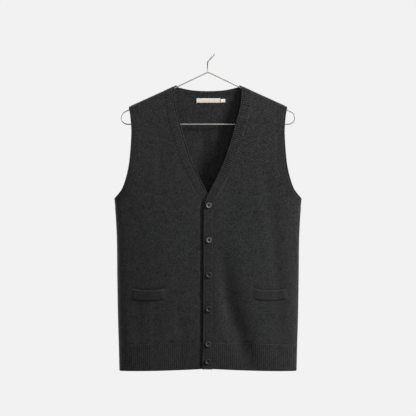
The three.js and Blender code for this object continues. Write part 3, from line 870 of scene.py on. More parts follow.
    def places(
        self, x: Any, reach: Any, facing: Any, side: Any, lifted: bool = True, mouths: bool = True
    ) -> Places:
        """The middle of the cloth.

        Args:
            x: places across the garment.
            reach: their distances over the cloth from the shoulder line.
            facing: -1 in front and 1 behind.
            side: -1 on the right front and 1 on the left one.
            lifted: whether folds and lifts move the points.
            mouths: whether the pockets' mouths sink the cloth.

        Returns:
            The points and their outward normals.
        """
        x, reach, facing, side = np.broadcast_arrays(*(np.asarray(v, float) for v in (x, reach, facing, side)))
        turn = np.minimum(np.abs(reach) / self.crest_radius, math.pi / 2)
        drop = self.drop(reach)
        z = self.height(x, reach)
        bulge = np.where(facing < 0, self.front_bulge, self.back_bulge)
        fade = np.exp(-drop / self.bulge_drop)
        depth = self.crest_radius * np.sin(turn) + bulge * (1 - fade)
        open_here = np.maximum(self.openness(x, z), 0)
        relief = self.relief(x, z, facing, side, mouths) if lifted else 0.0
        y = facing * (np.sqrt(open_here) * depth + relief)

        step = 0.05

        def slope(shape: Callable[[Array, Array], Array], dx: float, dz: float) -> Array:
            """The slope of a shape of x and z in one direction."""
            return (shape(x + dx, z + dz) - shape(x - dx, z - dz)) / (2 * step)

        def outward(px: Array, pz: Array) -> Array:
            """The relief as a shape of x and z."""
            return self.relief(px, pz, facing, side, mouths)

        rise = np.sin(turn)
        steep = open_here * (np.cos(turn) + rise * bulge * fade / self.bulge_drop)
        shoulder = np.where(np.abs(x) > self.neck_point, -self.shoulder_slope * np.sign(x), 0.0)
        half = rise * depth / 2
        flat = rise * np.sqrt(open_here)
        normal = np.stack(
            [
                -half * slope(self.openness, step, 0) - steep * shoulder - flat * slope(outward, step, 0),
                facing * flat,
                -half * slope(self.openness, 0, step) + steep - flat * slope(outward, 0, step),
            ],
            axis=-1,
        )
        normal /= np.linalg.norm(normal, axis=-1, keepdims=True)
        return Places(np.stack([x, y, z], axis=-1), normal)

    def at(self, x: Any, z: Any, facing: Facing, side: Side = Side.LEFT, mouths: bool = True) -> Places:
        """The middle of the cloth by x and height.

        Args:
            x: places across the garment.
            z: their heights.
            facing: which way the piece looks.
            side: the front that it belongs to.
            mouths: whether the pockets' mouths sink the cloth.

        Returns:
            The points and their outward normals.
        """
        x, z = np.broadcast_arrays(np.asarray(x, float), np.asarray(z, float))
        return self.places(x, self.reach(x, z), facing.value, side.value, mouths=mouths)


class BandEdges:
    """The free edge of a band and the seam where it joins the body, through its stations."""

    def __init__(self, stations: Sequence[tuple[float, float, float, float]]) -> None:
        """Gives the stations their distance along the band.

        Args:
            stations: free x, free reach, seam x and seam reach of each.
        """
        rows = np.array(stations, float)
        steps = np.diff(rows, axis=0)
        across = steps[:, 0] + steps[:, 2]
        down = steps[:, 1] + steps[:, 3]
        self.ats = np.concatenate([[0.0], np.cumsum(np.hypot(across, down) / 2)])
        self.curves = [Curve(self.ats, column) for column in rows.T]

    @property
    def length(self) -> float:
        """How long the band is along its middle."""
        return float(self.ats[-1])

    def width(self, at: Array) -> Array:
        """How wide the band is."""
        free_x, free_reach, seam_x, seam_reach = (curve(at) for curve in self.curves)
        return np.hypot(free_x - seam_x, free_reach - seam_reach)

    def place(self, at: Array, share: Array) -> tuple[Array, Array]:
        """A place on the band.

        Args:
            at: the distance along it.
            share: from 0 at the seam to 1 at the free edge.

        Returns:
            Its x and its distance over the cloth from the shoulder line.
        """
        free_x, free_reach, seam_x, seam_reach = (curve(at) for curve in self.curves)
        return mix(seam_x, free_x, share), mix(seam_reach, free_reach, share)


@dataclass(frozen=True)
class BandLayout:
    """Where the long band and the armhole bands lie on the cloth, as their solids have it."""

    form: ClothForm = field(default_factory=ClothForm)
    front_rows: tuple[tuple[float, float, float, float], ...] = (
        (-11.5, -686, 10.5, -686),
        (-10.5, -640, 10.5, -640),
        (-10.5, -330, 10.5, -330),
        (-9, -292, 10.8, -296),
        (-4.5, -273, 14, -282),
        (4.8, -254, 24, -264.5),
        (17.8, -229.7, 38.5, -240),
        (28.8, -205.5, 50.5, -216.5),
        (40, -181.4, 63.3, -190.5),
        (48, -157.2, 72, -165.5),
        (56, -133, 80.5, -140.5),
        (62.7, -108.8, 87.5, -115.5),
        (69, -84.6, 94, -91),
        (75.5, -60.5, 100, -66.5),
        (79.6, -36.3, 104, -41),
        (81.2, -18, 105, -25),
    )
    shoulder_rows: tuple[tuple[float, float, float], ...] = ((81.5, 105, -1), (77, 103.4, 0), (72, 101, 1))
    back_rows: tuple[tuple[float, float, float, float], ...] = (
        (68.5, -6.3, 95, -20.8),
        (63, -7.6, 80, -26),
        (54, -9.7, 59.5, -30.6),
        (40, -12.3, 43, -33.3),
        (20, -14, 21, -35),
        (0, -14.5, 0, -35.5),
    )
    underarm_seam: float = -296.3
    underarm_free: float = -274.5
    armhole_rows: tuple[tuple[float, float, float, float], ...] = (
        (221.5, -269, 211, -287),
        (215.5, -262, 198.6, -275.6),
        (207.5, -250.5, 186.5, -259),
        (199.8, -230, 177, -238),
        (194.5, -210, 170.5, -215),
        (190.3, -187, 166.8, -190),
        (187.5, -158, 165, -165),
        (186, -135, 164.5, -140),
        (185.3, -108, 164.4, -108),
        (188, -75, 164.4, -75),
    )
    armhole_crest: tuple[float, float] = (191.0, 164.4)
    neck: BandEdges = field(init=False)
    armhole: BandEdges = field(init=False)

    def __post_init__(self) -> None:
        """Makes the edges of both bands."""
        form = self.form
        turn = form.crest_turn

        def station(row: tuple[float, float, float, float], facing: int) -> tuple[float, ...]:
            """A row of heights as a row of reaches."""
            free_x, free_z, seam_x, seam_z = row
            free = facing * float(form.reach(free_x, free_z))
            return free_x, free, seam_x, facing * float(form.reach(seam_x, seam_z))

        neck = [station(row, -1) for row in self.front_rows]
        neck += [(free, turn * share, seam, turn * share) for free, seam, share in self.shoulder_rows]
        neck += [station(row, 1) for row in self.back_rows]
        object.__setattr__(self, "neck", BandEdges(neck))
        widths = form.half_width
        underarm = (
            float(widths(self.underarm_free)),
            self.underarm_free,
            float(widths(self.underarm_seam)),
            self.underarm_seam,
        )
        armhole = [station(row, -1) for row in (underarm, *self.armhole_rows)]
        free, seam = self.armhole_crest
        armhole += [(free, -turn, seam, -turn), (free, 0.0, seam, 0.0)]
        object.__setattr__(self, "armhole", BandEdges(armhole))

    @property
    def neck_crest(self) -> float:
        """Distance along the long band to the shoulder line."""
        return float(self.neck.ats[len(self.front_rows) + 1])

    @property
    def neck_foot(self) -> float:
        """Distance along the long band to the foot of the crest behind the shoulder."""
        return float(self.neck.ats[len(self.front_rows) + 2])

    @property
    def armhole_foot(self) -> float:
        """Distance along an armhole's band to the foot of the crest in front."""
        return float(self.armhole.ats[-2])

    def seam_line(self, band: BandEdges, at: Array, tuck: float = 0.3) -> tuple[Array, Array]:
        """The edge of the body along a band, tucked a little under it.

        Args:
            band: the band that is joined there.
            at: distances along it.
            tuck: how far the edge runs in under the band.

        Returns:
            x and height of the edge.
        """
        x, reach = band.place(at, tuck / band.width(at))
        return x, self.form.height(x, reach)

    def neck_seam(self) -> Curve:
        """x of the body's edge along the long band, by height."""
        x, z = self.seam_line(self.neck, np.linspace(0, self.neck_crest, 400))
        return Curve(z, x)


@dataclass(frozen=True)
class SectionPoint:
    """One point of a strip's cross-section, in millimetres."""

    anchor: Anchor
    across: float
    lift: float
    rib: float


@dataclass(frozen=True)
class StripSection:
    """The cross-section of a ribbed strip: thick, with a round free edge and thin along its seam."""

    outside: float = 0.7
    inside: float = -0.8
    rim: float = 0.5
    rounding: float = 1.4
    inside_ribs: float = 0.6
    runs: int = 5
    rim_groove: float | None = None
    groove_lift: float = 0.1
    bead: float = 0.0
    rim_ribs: float = 0.25

    def points(self) -> list[SectionPoint]:
        """The points round the section, from the seam over the outside and back along the inside.

        Returns:
            The points in order.
        """
        outer = self._seam_side(self.outside, self.rim, 1.0)
        inner = self._seam_side(self.inside, -self.rim, -self.inside_ribs)
        shares = [(i + 1) / (self.runs + 1) for i in range(self.runs)]
        over = [SectionPoint(Anchor.SHARE, share, self.outside, 1.0) for share in shares]
        under = [SectionPoint(Anchor.SHARE, share, self.inside, -self.inside_ribs) for share in shares]
        if self.rim_groove is not None:
            over.pop()
            rim = self.outside + 0.7 * self.bead
            for beside, lift, rib in ((2.0, self.outside, 0.9), (0.0, self.groove_lift, 0.25), (-1.2, rim, 0.25)):
                over.append(SectionPoint(Anchor.FREE, self.rim_groove + beside, lift, rib))
        return outer + over + self._free_side() + under[::-1] + inner[::-1]

    def _seam_side(self, face: float, rim: float, rib: float) -> list[SectionPoint]:
        """The quarter of a round from the rim up to a face."""
        made = []
        for angle in (0, math.pi / 4, math.pi / 2):
            across = self.rounding * (1 - math.cos(angle))
            made.append(
                SectionPoint(Anchor.SEAM, across, mix(rim, face, math.sin(angle)), rib * math.sin(angle))
            )
        return made

    def _free_side(self) -> list[SectionPoint]:
        """The half round of the free edge."""
        middle = (self.outside + self.bead + self.inside) / 2
        half = (self.outside + self.bead - self.inside) / 2
        made = []
        for degrees in (90, 60, 30, 0, -30, -60, -90):
            angle = math.radians(degrees)
            rib = math.sin(angle) * (1.0 if degrees > 0 else self.inside_ribs)
            if self.rim_groove is not None:
                rib *= self.rim_ribs
            across = self.rounding * (1 - math.cos(angle))
            made.append(SectionPoint(Anchor.FREE, across, middle + half * math.sin(angle), rib))
        return made


def to_frame(points: Array) -> Array:
    """Moves points from the garment's millimetres to the frame's metres."""
    return (np.asarray(points, float) - WireHanger().seat()) * MM


def signed_volume(points: Array, quads: Array) -> float:
    """Six times the volume that faces of four corners close, negative when they face in."""
    a, b, c, d = (points[quads[:, i]] for i in range(4))
    first = np.einsum("ij,ij->i", a, np.cross(b, c))
    return float((first + np.einsum("ij,ij->i", a, np.cross(c, d))).sum())


def new_piece(
    name: str,
    points: Array,
    faces: Array,
    uvs: Array | None = None,
    caps: Sequence[Sequence[int]] = (),
    numbers: dict[str, Array] | None = None,
    vectors: dict[str, Array] | None = None,
) -> bpy.types.Object:
    """Makes a mesh object whose faces point out.

    Args:
        name: the object's name.
        points: its vertices in the garment's millimetres.
        faces: corners of its four-sided faces.
        uvs: a place in its UV map for each vertex, in metres.
        caps: further faces of any number of corners, turned as the others are.
        numbers: values to keep on the vertices.
        vectors: directions to keep on the vertices.

    Returns:
        The object.
    """
    faces = np.asarray(faces)
    ends = [list(cap) for cap in caps]
    if signed_volume(points, faces) < 0:
        faces = faces[:, ::-1]
        ends = [cap[::-1] for cap in ends]
    mesh = bpy.data.meshes.new(name)
    mesh.from_pydata(to_frame(points).tolist(), [], faces.tolist() + ends)
    if uvs is not None:
        corners = np.empty(len(mesh.loops), dtype=int)
        mesh.loops.foreach_get("vertex_index", corners)
        mesh.uv_layers.new(name="Cloth").data.foreach_set("uv", uvs[corners].astype(np.float32).ravel())
    for key, values in (numbers or {}).items():
        mesh.attributes.new(key, "FLOAT", "POINT").data.foreach_set("value", values.astype(np.float32).ravel())
    for key, values in (vectors or {}).items():
        layer = mesh.attributes.new(key, "FLOAT_VECTOR", "POINT")
        layer.data.foreach_set("vector", values.astype(np.float32).ravel())
    mesh.shade_smooth()
    mesh.update()
    piece = bpy.data.objects.new(name, mesh)
    bpy.context.scene.collection.objects.link(piece)
    return piece


def grid_faces(rows: int, columns: int, start: int = 0) -> Array:
    """Faces between neighbours of a grid of vertices.

    Args:
        rows: how many rows of vertices there are.
        columns: how many stand in each.
        start: the number of the first vertex.

    Returns:
        The corners of the faces.
    """
    i, j = np.meshgrid(np.arange(rows - 1), np.arange(columns - 1), indexing="ij")
    a = start + i * columns + j
    return np.stack([a, a + columns, a + columns + 1, a + 1], axis=-1).reshape(-1, 4)


def run_lengths(points: Array, axis: int) -> Array:
    """Distances along a grid of points from its first row or column."""
    steps = np.linalg.norm(np.diff(points, axis=axis), axis=-1)
    start = np.zeros_like(np.take(steps, [0], axis=axis))
    return np.concatenate([start, np.cumsum(steps, axis=axis)], axis=axis)


def keep_attributes(mesh: bpy.types.Mesh, names: Sequence[str]) -> None:
    """Removes working attributes from a mesh."""
    for name in names:
        if name in mesh.attributes:
            mesh.attributes.remove(mesh.attributes[name])


def settle(piece: bpy.types.Object, working: Sequence[str] = ()) -> bpy.types.Object:
    """Turns what a piece's modifiers make into its own plain mesh.

    Args:
        piece: the object.
        working: names of attributes that are no longer needed.

    Returns:
        The same object, with no modifier left.
    """
    bpy.context.view_layer.update()
    seen = piece.evaluated_get(bpy.context.evaluated_depsgraph_get())
    mesh = bpy.data.meshes.new_from_object(seen)
    piece.modifiers.clear()
    before = piece.data
    piece.data = mesh
    bpy.data.meshes.remove(before)
    mesh.name = piece.name
    keep_attributes(mesh, working)
    return piece


class Grower:
    """A Geometry Nodes tree with named inputs, which is run on a piece and then removed."""

    def __init__(self, name: str, inputs: dict[str, tuple[str, Any]]) -> None:
        """Starts the tree with its interface.

        Args:
            name: the tree's name.
            inputs: the type and the value of each named input.
        """
        self.group = bpy.data.node_groups.new(name, "GeometryNodeTree")
        self.tree = Tree(self.group)
        face = self.group.interface
        face.new_socket("Geometry", in_out="INPUT", socket_type="NodeSocketGeometry")
        self.sockets = {}
        for key, (kind, value) in inputs.items():
            socket = face.new_socket(key, in_out="INPUT", socket_type=kind)
            self.sockets[key] = socket.identifier
            if value is not None:
                socket.default_value = value
        face.new_socket("Geometry", in_out="OUTPUT", socket_type="NodeSocketGeometry")
        self.start = self.tree.node("NodeGroupInput")

    def given(self, name: str) -> Field:
        """One of the tree's inputs."""
        return Field(self.tree, self.start.outputs[name])

    def named(self, name: str, kind: str = "FLOAT") -> Field:
        """An attribute of the geometry by name."""
        return self.tree.field("GeometryNodeInputNamedAttribute", {"data_type": kind}, {"Name": name})

    def scaled(self, vector: Any, factor: Any) -> bpy.types.NodeSocket:
        """A vector times a number."""
        made = self.tree.node("ShaderNodeVectorMath", {"operation": "SCALE"}, {0: vector, "Scale": factor})
        return made.outputs[0]

    def close(self, geometry: bpy.types.NodeSocket) -> None:
        """Ends the tree: instances are realized and the material is set.

        Args:
            geometry: what the tree has made.
        """
        real = self.tree.node("GeometryNodeRealizeInstances", inputs={0: geometry})
        made = self.tree.node(
            "GeometryNodeSetMaterial", inputs={0: real.outputs[0], "Material": self.given("Material")}
        )
        self.tree.node("NodeGroupOutput", inputs={0: made.outputs[0]})

    def run(
        self, piece: bpy.types.Object, material: bpy.types.Material, working: Sequence[str] = (), **values: Any
    ) -> bpy.types.Object:
        """Runs the tree on a piece.

        Args:
            piece: the object that the tree works on.
            material: its finish.
            working: names of attributes that are no longer needed.
            values: inputs that differ from the tree's own, with _ for a space.

        Returns:
            The piece with its new mesh.
        """
        modifier = piece.modifiers.new(self.group.name, "NODES")
        modifier.node_group = self.group
        modifier[self.sockets["Material"]] = material
        for key, value in values.items():
            modifier[self.sockets[key.replace("_", " ")]] = value
        return settle(piece, working)


def rib_grower() -> Grower:
    """Makes the tree that raises ribs: round on the outside, and between them on the inside.

    Returns:
        The tree.
    """
    made = Grower(
        "Raise ribs",
        {
            "Material": ("NodeSocketMaterial", None),
            "Height": ("NodeSocketFloat", 0.9 * MM),
            "Unevenness": ("NodeSocketFloat", 0.35),
            "Seed": ("NodeSocketInt", 3),
        },
    )
    tree = made.tree
    raised = made.named("rib_share")
    shifted = made.named("rib_count") + raised.below(0) * 0.5
    row = tree.node("ShaderNodeCombineXYZ", inputs={0: shifted.floor(), 1: made.given("Seed"), 2: 0.0})
    chance = tree.field("ShaderNodeTexWhiteNoise", {"noise_dimensions": "3D"}, {"Vector": row.outputs[0]})
    uneven = (chance - 0.5) * made.given("Unevenness") + 1
    lift = shifted.arch() * raised * made.given("Height") * uneven
    offset = made.scaled(made.named("outward", "FLOAT_VECTOR"), lift)
    moved = tree.node(
        "GeometryNodeSetPosition", inputs={"Geometry": made.start.outputs["Geometry"], "Offset": offset}
    )
    made.close(moved.outputs[0])
    return made


def stitch_grower() -> Grower:
    """Makes the tree that sews along a line: one arched stitch after another.

    Returns:
        The tree.
    """
    made = Grower(
        "Sew along a line",
        {
            "Material": ("NodeSocketMaterial", None),
            "Pitch": ("NodeSocketFloat", 2.5 * MM),
            "Stitch Length": ("NodeSocketFloat", 2.9 * MM),
            "Rise": ("NodeSocketFloat", 0.5 * MM),
            "Thickness": ("NodeSocketFloat", 0.4 * MM),
            "Lean": ("NodeSocketFloat", 0.0),
            "Wander": ("NodeSocketFloat", 0.12),
            "Seed": ("NodeSocketInt", 7),
        },
    )
    tree = made.tree
    line = tree.node("GeometryNodeMeshToCurve", inputs={0: made.start.outputs["Geometry"]})
    spaced = tree.node(
        "GeometryNodeResampleCurve",
        {"mode": "LENGTH"},
        {"Curve": line.outputs[0], "Length": made.given("Pitch")},
    )
    length = made.given("Stitch Length")
    start = tree.node("ShaderNodeCombineXYZ", inputs={0: length * -0.5, 1: 0.0, 2: 0.0})
    middle = tree.node("ShaderNodeCombineXYZ", inputs={0: 0.0, 1: 0.0, 2: made.given("Rise") * 2})
    end = tree.node("ShaderNodeCombineXYZ", inputs={0: length * 0.5, 1: 0.0, 2: 0.0})
    arch = tree.node(
        "GeometryNodeCurveQuadraticBezier",
        inputs={"Resolution": 4, "Start": start.outputs[0], "Middle": middle.outputs[0], "End": end.outputs[0]},
    )
    section = tree.node(
        "GeometryNodeCurvePrimitiveCircle", inputs={"Resolution": 5, "Radius": made.given("Thickness")}
    )
    stitch = tree.node(
        "GeometryNodeCurveToMesh",
        inputs={"Curve": arch.outputs[0], "Profile Curve": section.outputs[0], "Fill Caps": True},
    )
    across = tree.node(
        "FunctionNodeAlignRotationToVector",
        {"axis": "Z"},
        {"Vector": made.named("outward", "FLOAT_VECTOR")},
    )
    onward = tree.node(
        "FunctionNodeAlignRotationToVector",
        {"axis": "X", "pivot_axis": "Z"},
        {"Rotation": across.outputs[0], "Vector": tree.node("GeometryNodeInputTangent").outputs[0]},
    )
    chance = tree.node(
        "FunctionNodeRandomValue",
        {"data_type": "FLOAT"},
        {2: made.given("Wander") * -1, 3: made.given("Wander"), "Seed": made.given("Seed")},
    )
    lean = made.given("Lean") + Field(tree, chance.outputs[1])
    spin = tree.node("ShaderNodeCombineXYZ", inputs={0: 0.0, 1: 0.0, 2: lean})
    turned = tree.node(
        "FunctionNodeRotateRotation",
        {"rotation_space": "LOCAL"},
        {0: onward.outputs[0], 1: tree.node("FunctionNodeEulerToRotation", inputs={0: spin.outputs[0]}).outputs[0]},
    )
    sewn = tree.node(
        "GeometryNodeInstanceOnPoints",
        inputs={"Points": spaced.outputs[0], "Instance": stitch.outputs[0], "Rotation": turned.outputs[0]},
    )
    smooth_stitches = tree.node("GeometryNodeSetShadeSmooth", inputs={0: sewn.outputs[0]})
    made.close(smooth_stitches.outputs[0])
    return made


@dataclass
class Workroom:
    """What every sub-assembly shares: the cloth's form, the bands' layout, finishes and trees."""

    form: ClothForm
    layout: BandLayout
    jersey: bpy.types.Material
    rib: bpy.types.Material
    seam_yarn: bpy.types.Material
    button_thread: bpy.types.Material
    label: bpy.types.Material
    size_tab: bpy.types.Material
    label_thread: bpy.types.Material
    resin: bpy.types.Material
    wire: bpy.types.Material
    ribs: Grower
    stitches: Grower

    def sew(self, name: str, places: Places, lift: float, material: bpy.types.Material, **values: Any) -> Any:
        """Sews along a line of places.

        Args:
            name: the new piece's name.
            places: the line.
            lift: how far off the middle of the cloth the stitches lie.
            material: their thread.
            values: inputs of the tree.

        Returns:
            The piece.
        """
        points = places.lifted(np.full(len(places.points), lift))
        mesh = bpy.data.meshes.new(name)
        edges = [(i, i + 1) for i in range(len(points) - 1)]
        mesh.from_pydata(to_frame(points).tolist(), edges, [])
        layer = mesh.attributes.new("outward", "FLOAT_VECTOR", "POINT")
        layer.data.foreach_set("vector", places.normals.astype(np.float32).ravel())
        piece = bpy.data.objects.new(name, mesh)
        bpy.context.scene.collection.objects.link(piece)
        return self.stitches.run(piece, material, ("outward",), **values)


def join(name: str, pieces: Sequence[bpy.types.Object]) -> bpy.types.Object:
    """Joins pieces into the first of them.

    Args:
        name: the name of the joined piece.
        pieces: the pieces.

    Returns:
        The joined piece.
    """
    for other in bpy.context.selected_objects:
        other.select_set(False)
    for piece in pieces:
        piece.select_set(True)
    bpy.context.view_layer.objects.active = pieces[0]
    bpy.ops.object.join()
    pieces[0].name = name
    pieces[0].data.name = name
    return pieces[0]


@dataclass
class RibbedStrip:
    """A ribbed strip of the garment, built round its section and along its length."""

    name: str
    section: StripSection
    pitch: float = 5.0
    steps: int = 8
    rib_height: float = 0.55
    closed: bool = False
    end_rounding: float = 1.6
    end_ribs: float = 1.0
    end_run: tuple[float, float] = (0.24, 0.29)

    def build(
        self,
        room: Workroom,
        width: Callable[[Array], Array],
        place: Callable[[Array, Array], Places],
    ) -> bpy.types.Object:
        """Makes the strip.

        Args:
            room: the shared finishes and trees.
            width: the strip's width at shares of its length.
            place: the cloth at shares of its length and of its width, from the seam to the free edge.

        Returns:
            The strip.
        """
        fine = np.linspace(0, 1, 601)
        middle = place(fine, np.full_like(fine, 0.5)).points
        runs = run_lengths(middle, 0)
        ribs = round(float(runs[-1]) / self.pitch)
        count = ribs * self.steps + 1
        t = np.interp(np.linspace(0, runs[-1], count), runs, fine)
        section = self.section.points()
        wide = width(t)
        shares = np.empty((count, len(section)))
        for m, spot in enumerate(section):
            if spot.anchor is Anchor.SEAM:
                shares[:, m] = spot.across / wide
            elif spot.anchor is Anchor.FREE:
                shares[:, m] = 1 - spot.across / wide
            else:
                shares[:, m] = mix(self.section.rounding / wide, 1 - self.section.rounding / wide, spot.across)
        cloth = place(np.repeat(t[:, None], len(section), axis=1), shares)
        lifts = np.tile([spot.lift for spot in section], (count, 1))
        calm = mix(self.end_ribs, 1.0, smooth(np.minimum(t, 1 - t), *self.end_run))
        rib_share = np.tile([spot.rib for spot in section], (count, 1)) * calm[:, None]
        if not self.closed:
            run = np.linspace(0, float(runs[-1]), count)
            near = np.clip(np.minimum(run, run[-1] - run) / self.end_rounding, 0, 1)
            ease = 0.45 + 0.55 * np.sqrt(1 - (1 - near) ** 2)
            lifts *= ease[:, None]
            rib_share *= (2 * ease - 1).clip(0, 1)[:, None]
        rib_count = np.repeat(np.linspace(0, ribs, count)[:, None], len(section), axis=1)
        points = cloth.lifted(lifts)
        uvs = np.stack([(rib_count + 0.25) * self.pitch * MM, shares * wide[:, None] * MM], axis=-1)
        return self._mesh(room, points, uvs, cloth.normals, rib_count, rib_share)

    def _mesh(
        self, room: Workroom, points: Array, uvs: Array, normals: Array, rib_count: Array, rib_share: Array
    ) -> bpy.types.Object:
        """Closes the section all round and raises the ribs."""
        count, ring = points.shape[:2]
        if self.closed:
            points, uvs, normals = points[:-1], uvs[:-1], normals[:-1]
            rib_count, rib_share = rib_count[:-1], rib_share[:-1]
            count -= 1
        k, m = np.meshgrid(np.arange(count if self.closed else count - 1), np.arange(ring), indexing="ij")
        after = (k + 1) % count
        beside = (m + 1) % ring
        corners = [k * ring + m, after * ring + m, after * ring + beside, k * ring + beside]
        faces = np.stack(corners, axis=-1).reshape(-1, 4)
        first = list(range(ring))
        last = [(count - 1) * ring + i for i in range(ring)]
        piece = new_piece(
            self.name,
            points.reshape(-1, 3),
            faces,
            uvs.reshape(-1, 2),
            caps=() if self.closed else (first, last[::-1]),
            numbers={"rib_count": rib_count, "rib_share": rib_share},
            vectors={"outward": normals.reshape(-1, 3)},
        )
        working = ("rib_count", "rib_share", "outward")
        return room.ribs.run(piece, room.rib, working, Height=self.rib_height * MM)


@dataclass
class BodyPanels:
    """The plain knitted body: two fronts and the back."""

    room: Workroom
    half: float = 1.2
    rim: float = 0.5
    rounding: float = 1.7
    spacing: float = 3.0
    side_ease: float = 0.4
    neck_ease: float = 1.5
    armhole_ease: float = 1.8
    corner_ease: float = 1.6
    neck_share: float = 9 / 16
    corner_share: float = 10 / 16
    edge_steps: tuple[float, ...] = (0.0, 0.45, 1.0)

    @property
    def underarm(self) -> float:
        """Height of the seam under the arm."""
        return self.room.layout.underarm_seam

    def side_share(self, share: Array) -> Array:
        """Share of a row's width at a share of its columns, closer together towards the side."""
        steep = 1 / (1 - self.side_ease / 2)
        left = 1 - share
        return np.where(left >= self.side_ease, steep * share, 1 - steep * left**2 / (2 * self.side_ease))

    def edged(self, count: int, first: float, last: float) -> Array:
        """Even shares from 0 to 1, with a few more where the edges are rounded.

        Args:
            count: how many even steps there are.
            first: share that the first edge's rounding takes up.
            last: share that the last edge's rounding takes up.

        Returns:
            The shares.
        """
        even = np.linspace(first * 1.7, 1 - last * 1.7, count)
        start = [step * first for step in self.edge_steps]
        end = [1 - step * last for step in reversed(self.edge_steps)]
        return np.concatenate([start, even, end])

    def outer_ends(self, up: Array) -> tuple[Array, Array]:
        """x and height of the body's edge along the armhole, at shares of the way up."""
        layout = self.room.layout
        return layout.seam_line(layout.armhole, up**self.armhole_ease * layout.armhole_foot)

    def wall(self, name: str, cloth: Places, start_u: Array) -> bpy.types.Object:
        """Makes a wall of cloth over a grid of places, thin along its rounded edges.

        Args:
            name: the piece's name.
            cloth: the middle of the cloth, row by row from the hem up.
            start_u: where each row's UV starts, in millimetres.

        Returns:
            The piece.
        """
        points = cloth.points
        rows, columns = points.shape[:2]
        along = run_lengths(points, 1)
        up = run_lengths(points, 0)
        nearest = np.minimum(
            np.minimum(along, along[:, -1:] - along),
            np.minimum(up, up[-1:] - up),
        )
        near = np.clip(nearest / self.rounding, 0, 1)
        thick = self.rim + (self.half - self.rim) * np.sqrt(1 - (1 - near) ** 2)
        both = np.concatenate([cloth.lifted(thick).reshape(-1, 3), cloth.lifted(-thick).reshape(-1, 3)])
        uv = np.stack([(start_u[:, None] + along) * MM, points[..., 2] * MM], axis=-1).reshape(-1, 2)
        size = rows * columns
        number = np.arange(size).reshape(rows, columns)
        border = np.concatenate(
            [number[0, :-1], number[:-1, -1], number[-1, :0:-1], number[:0:-1, 0]]
        )
        after = np.roll(border, -1)
        rim = np.stack([border, after, after + size, border + size], axis=-1)
        faces = np.concatenate([grid_faces(rows, columns)[:, ::-1], grid_faces(rows, columns, size), rim[:, ::-1]])
        piece = new_piece(name, both, faces, np.concatenate([uv, uv]))
        piece.data.materials.append(self.room.jersey)
        return piece

    def front(self, side: Side) -> bpy.types.Object:
        """Makes one front, from its hem to the shoulder line.

        Args:
            side: which front.

        Returns:
            The piece.
        """
        form, layout = self.room.form, self.room.layout
        neck_x = layout.neck_seam()
        sign = side.value
        columns = self.edged(66, 0.007, 0.03)
        eased = self.side_share(columns)

        up = self.edged(104, 0.005, 0.0)[:-3]
        middle = mix(form.hem_top, self.underarm, up)
        inner = sign * neck_x(middle) + form.sway(middle)
        x = mix(inner[:, None], sign * form.half_width(middle)[:, None], eased)
        hem = form.hem_line(x) - 0.3
        z = mix(hem, self.underarm, up[:, None])
        rows_x, rows_z = [x], [z]

        steps = (np.arange(1, 93) / 92) ** (1 / self.neck_ease)
        outer_x, outer_z = self.outer_ends(steps)
        neck_start = float(layout.neck.place(layout.neck_crest, 0.0)[0])
        shoulder_end = float(layout.armhole.place(layout.armhole.length, 0.0)[0])
        inner_z = mix(self.underarm, form.height(neck_start, form.crest_turn), steps**self.neck_ease)
        inner_x = sign * neck_x(inner_z) + form.sway(inner_z)
        shares = mix(columns, eased, (1 - steps)[:, None])
        rows_x.append(mix(inner_x[:, None], sign * outer_x[:, None], shares))
        rows_z.append(mix(inner_z[:, None], outer_z[:, None], shares))

        for reach in form.crest_turn * np.array([0.8, 0.6, 0.4, 0.25, 0.12, 0.05, 0.0]):
            low = form.height(np.array(neck_start), reach)
            start = sign * float(neck_x(low)) + float(form.sway(low))
            x = mix(start, sign * shoulder_end, columns)
            rows_x.append(x[None])
            rows_z.append(form.height(x, reach)[None])
        x, z = np.concatenate(rows_x), np.concatenate(rows_z)
        cloth = form.places(x, form.reach(x, z), Facing.FRONT.value, sign)
        start_u = sign * x[:, 0]
        return self.wall(f"{side.word}_front", cloth, start_u)

    def back_top(self, share: Array) -> tuple[Array, Array]:
        """Where each column of half of the back meets the neck band or the shoulder line.

        Args:
            share: shares of the columns, from the middle to the armhole.

        Returns:
            x and height there.
        """
        layout, form = self.room.layout, self.room.form
        along = np.clip(share / self.neck_share, 0, 1)
        neck_at = mix(layout.neck.length, layout.neck_foot, 1 - (1 - along) ** self.corner_ease)
        corner = np.clip((share - self.neck_share) / (self.corner_share - self.neck_share), 0, 1)
        neck_at = np.where(corner > 0, mix(layout.neck_foot, layout.neck_crest, corner), neck_at)
        neck_x, neck_z = layout.seam_line(layout.neck, neck_at)
        start = float(layout.seam_line(layout.neck, np.array(layout.neck_crest))[0])
        end = float(layout.seam_line(layout.armhole, np.array(layout.armhole.length))[0])
        past = np.clip((share - self.corner_share) / (1 - self.corner_share), 0, 1)
        x = mix(start, end, past)
        on_line = share >= self.corner_share
        return np.where(on_line, x, neck_x), np.where(on_line, form.height(x, 0.0), neck_z)

    def back(self) -> bpy.types.Object:
        """Makes the back, from its hem to the neck and shoulders.

        Returns:
            The piece.
        """
        form = self.room.form
        layout = self.room.layout
        columns = np.unique(np.concatenate([self.edged(68, 0.007, 0.03), [self.neck_share, self.corner_share]]))
        eased = self.side_share(columns)
        top_x, top_z = self.back_top(columns)
        shoulder_end = top_x[-1]

        up = self.edged(104, 0.005, 0.0)[:-3]
        width = form.half_width(mix(form.hem_top, self.underarm, up))
        x = width[:, None] * eased
        z = mix(form.hem_line(x) - 0.3, self.underarm, up[:, None])
        rows_x, rows_z = [x], [z]

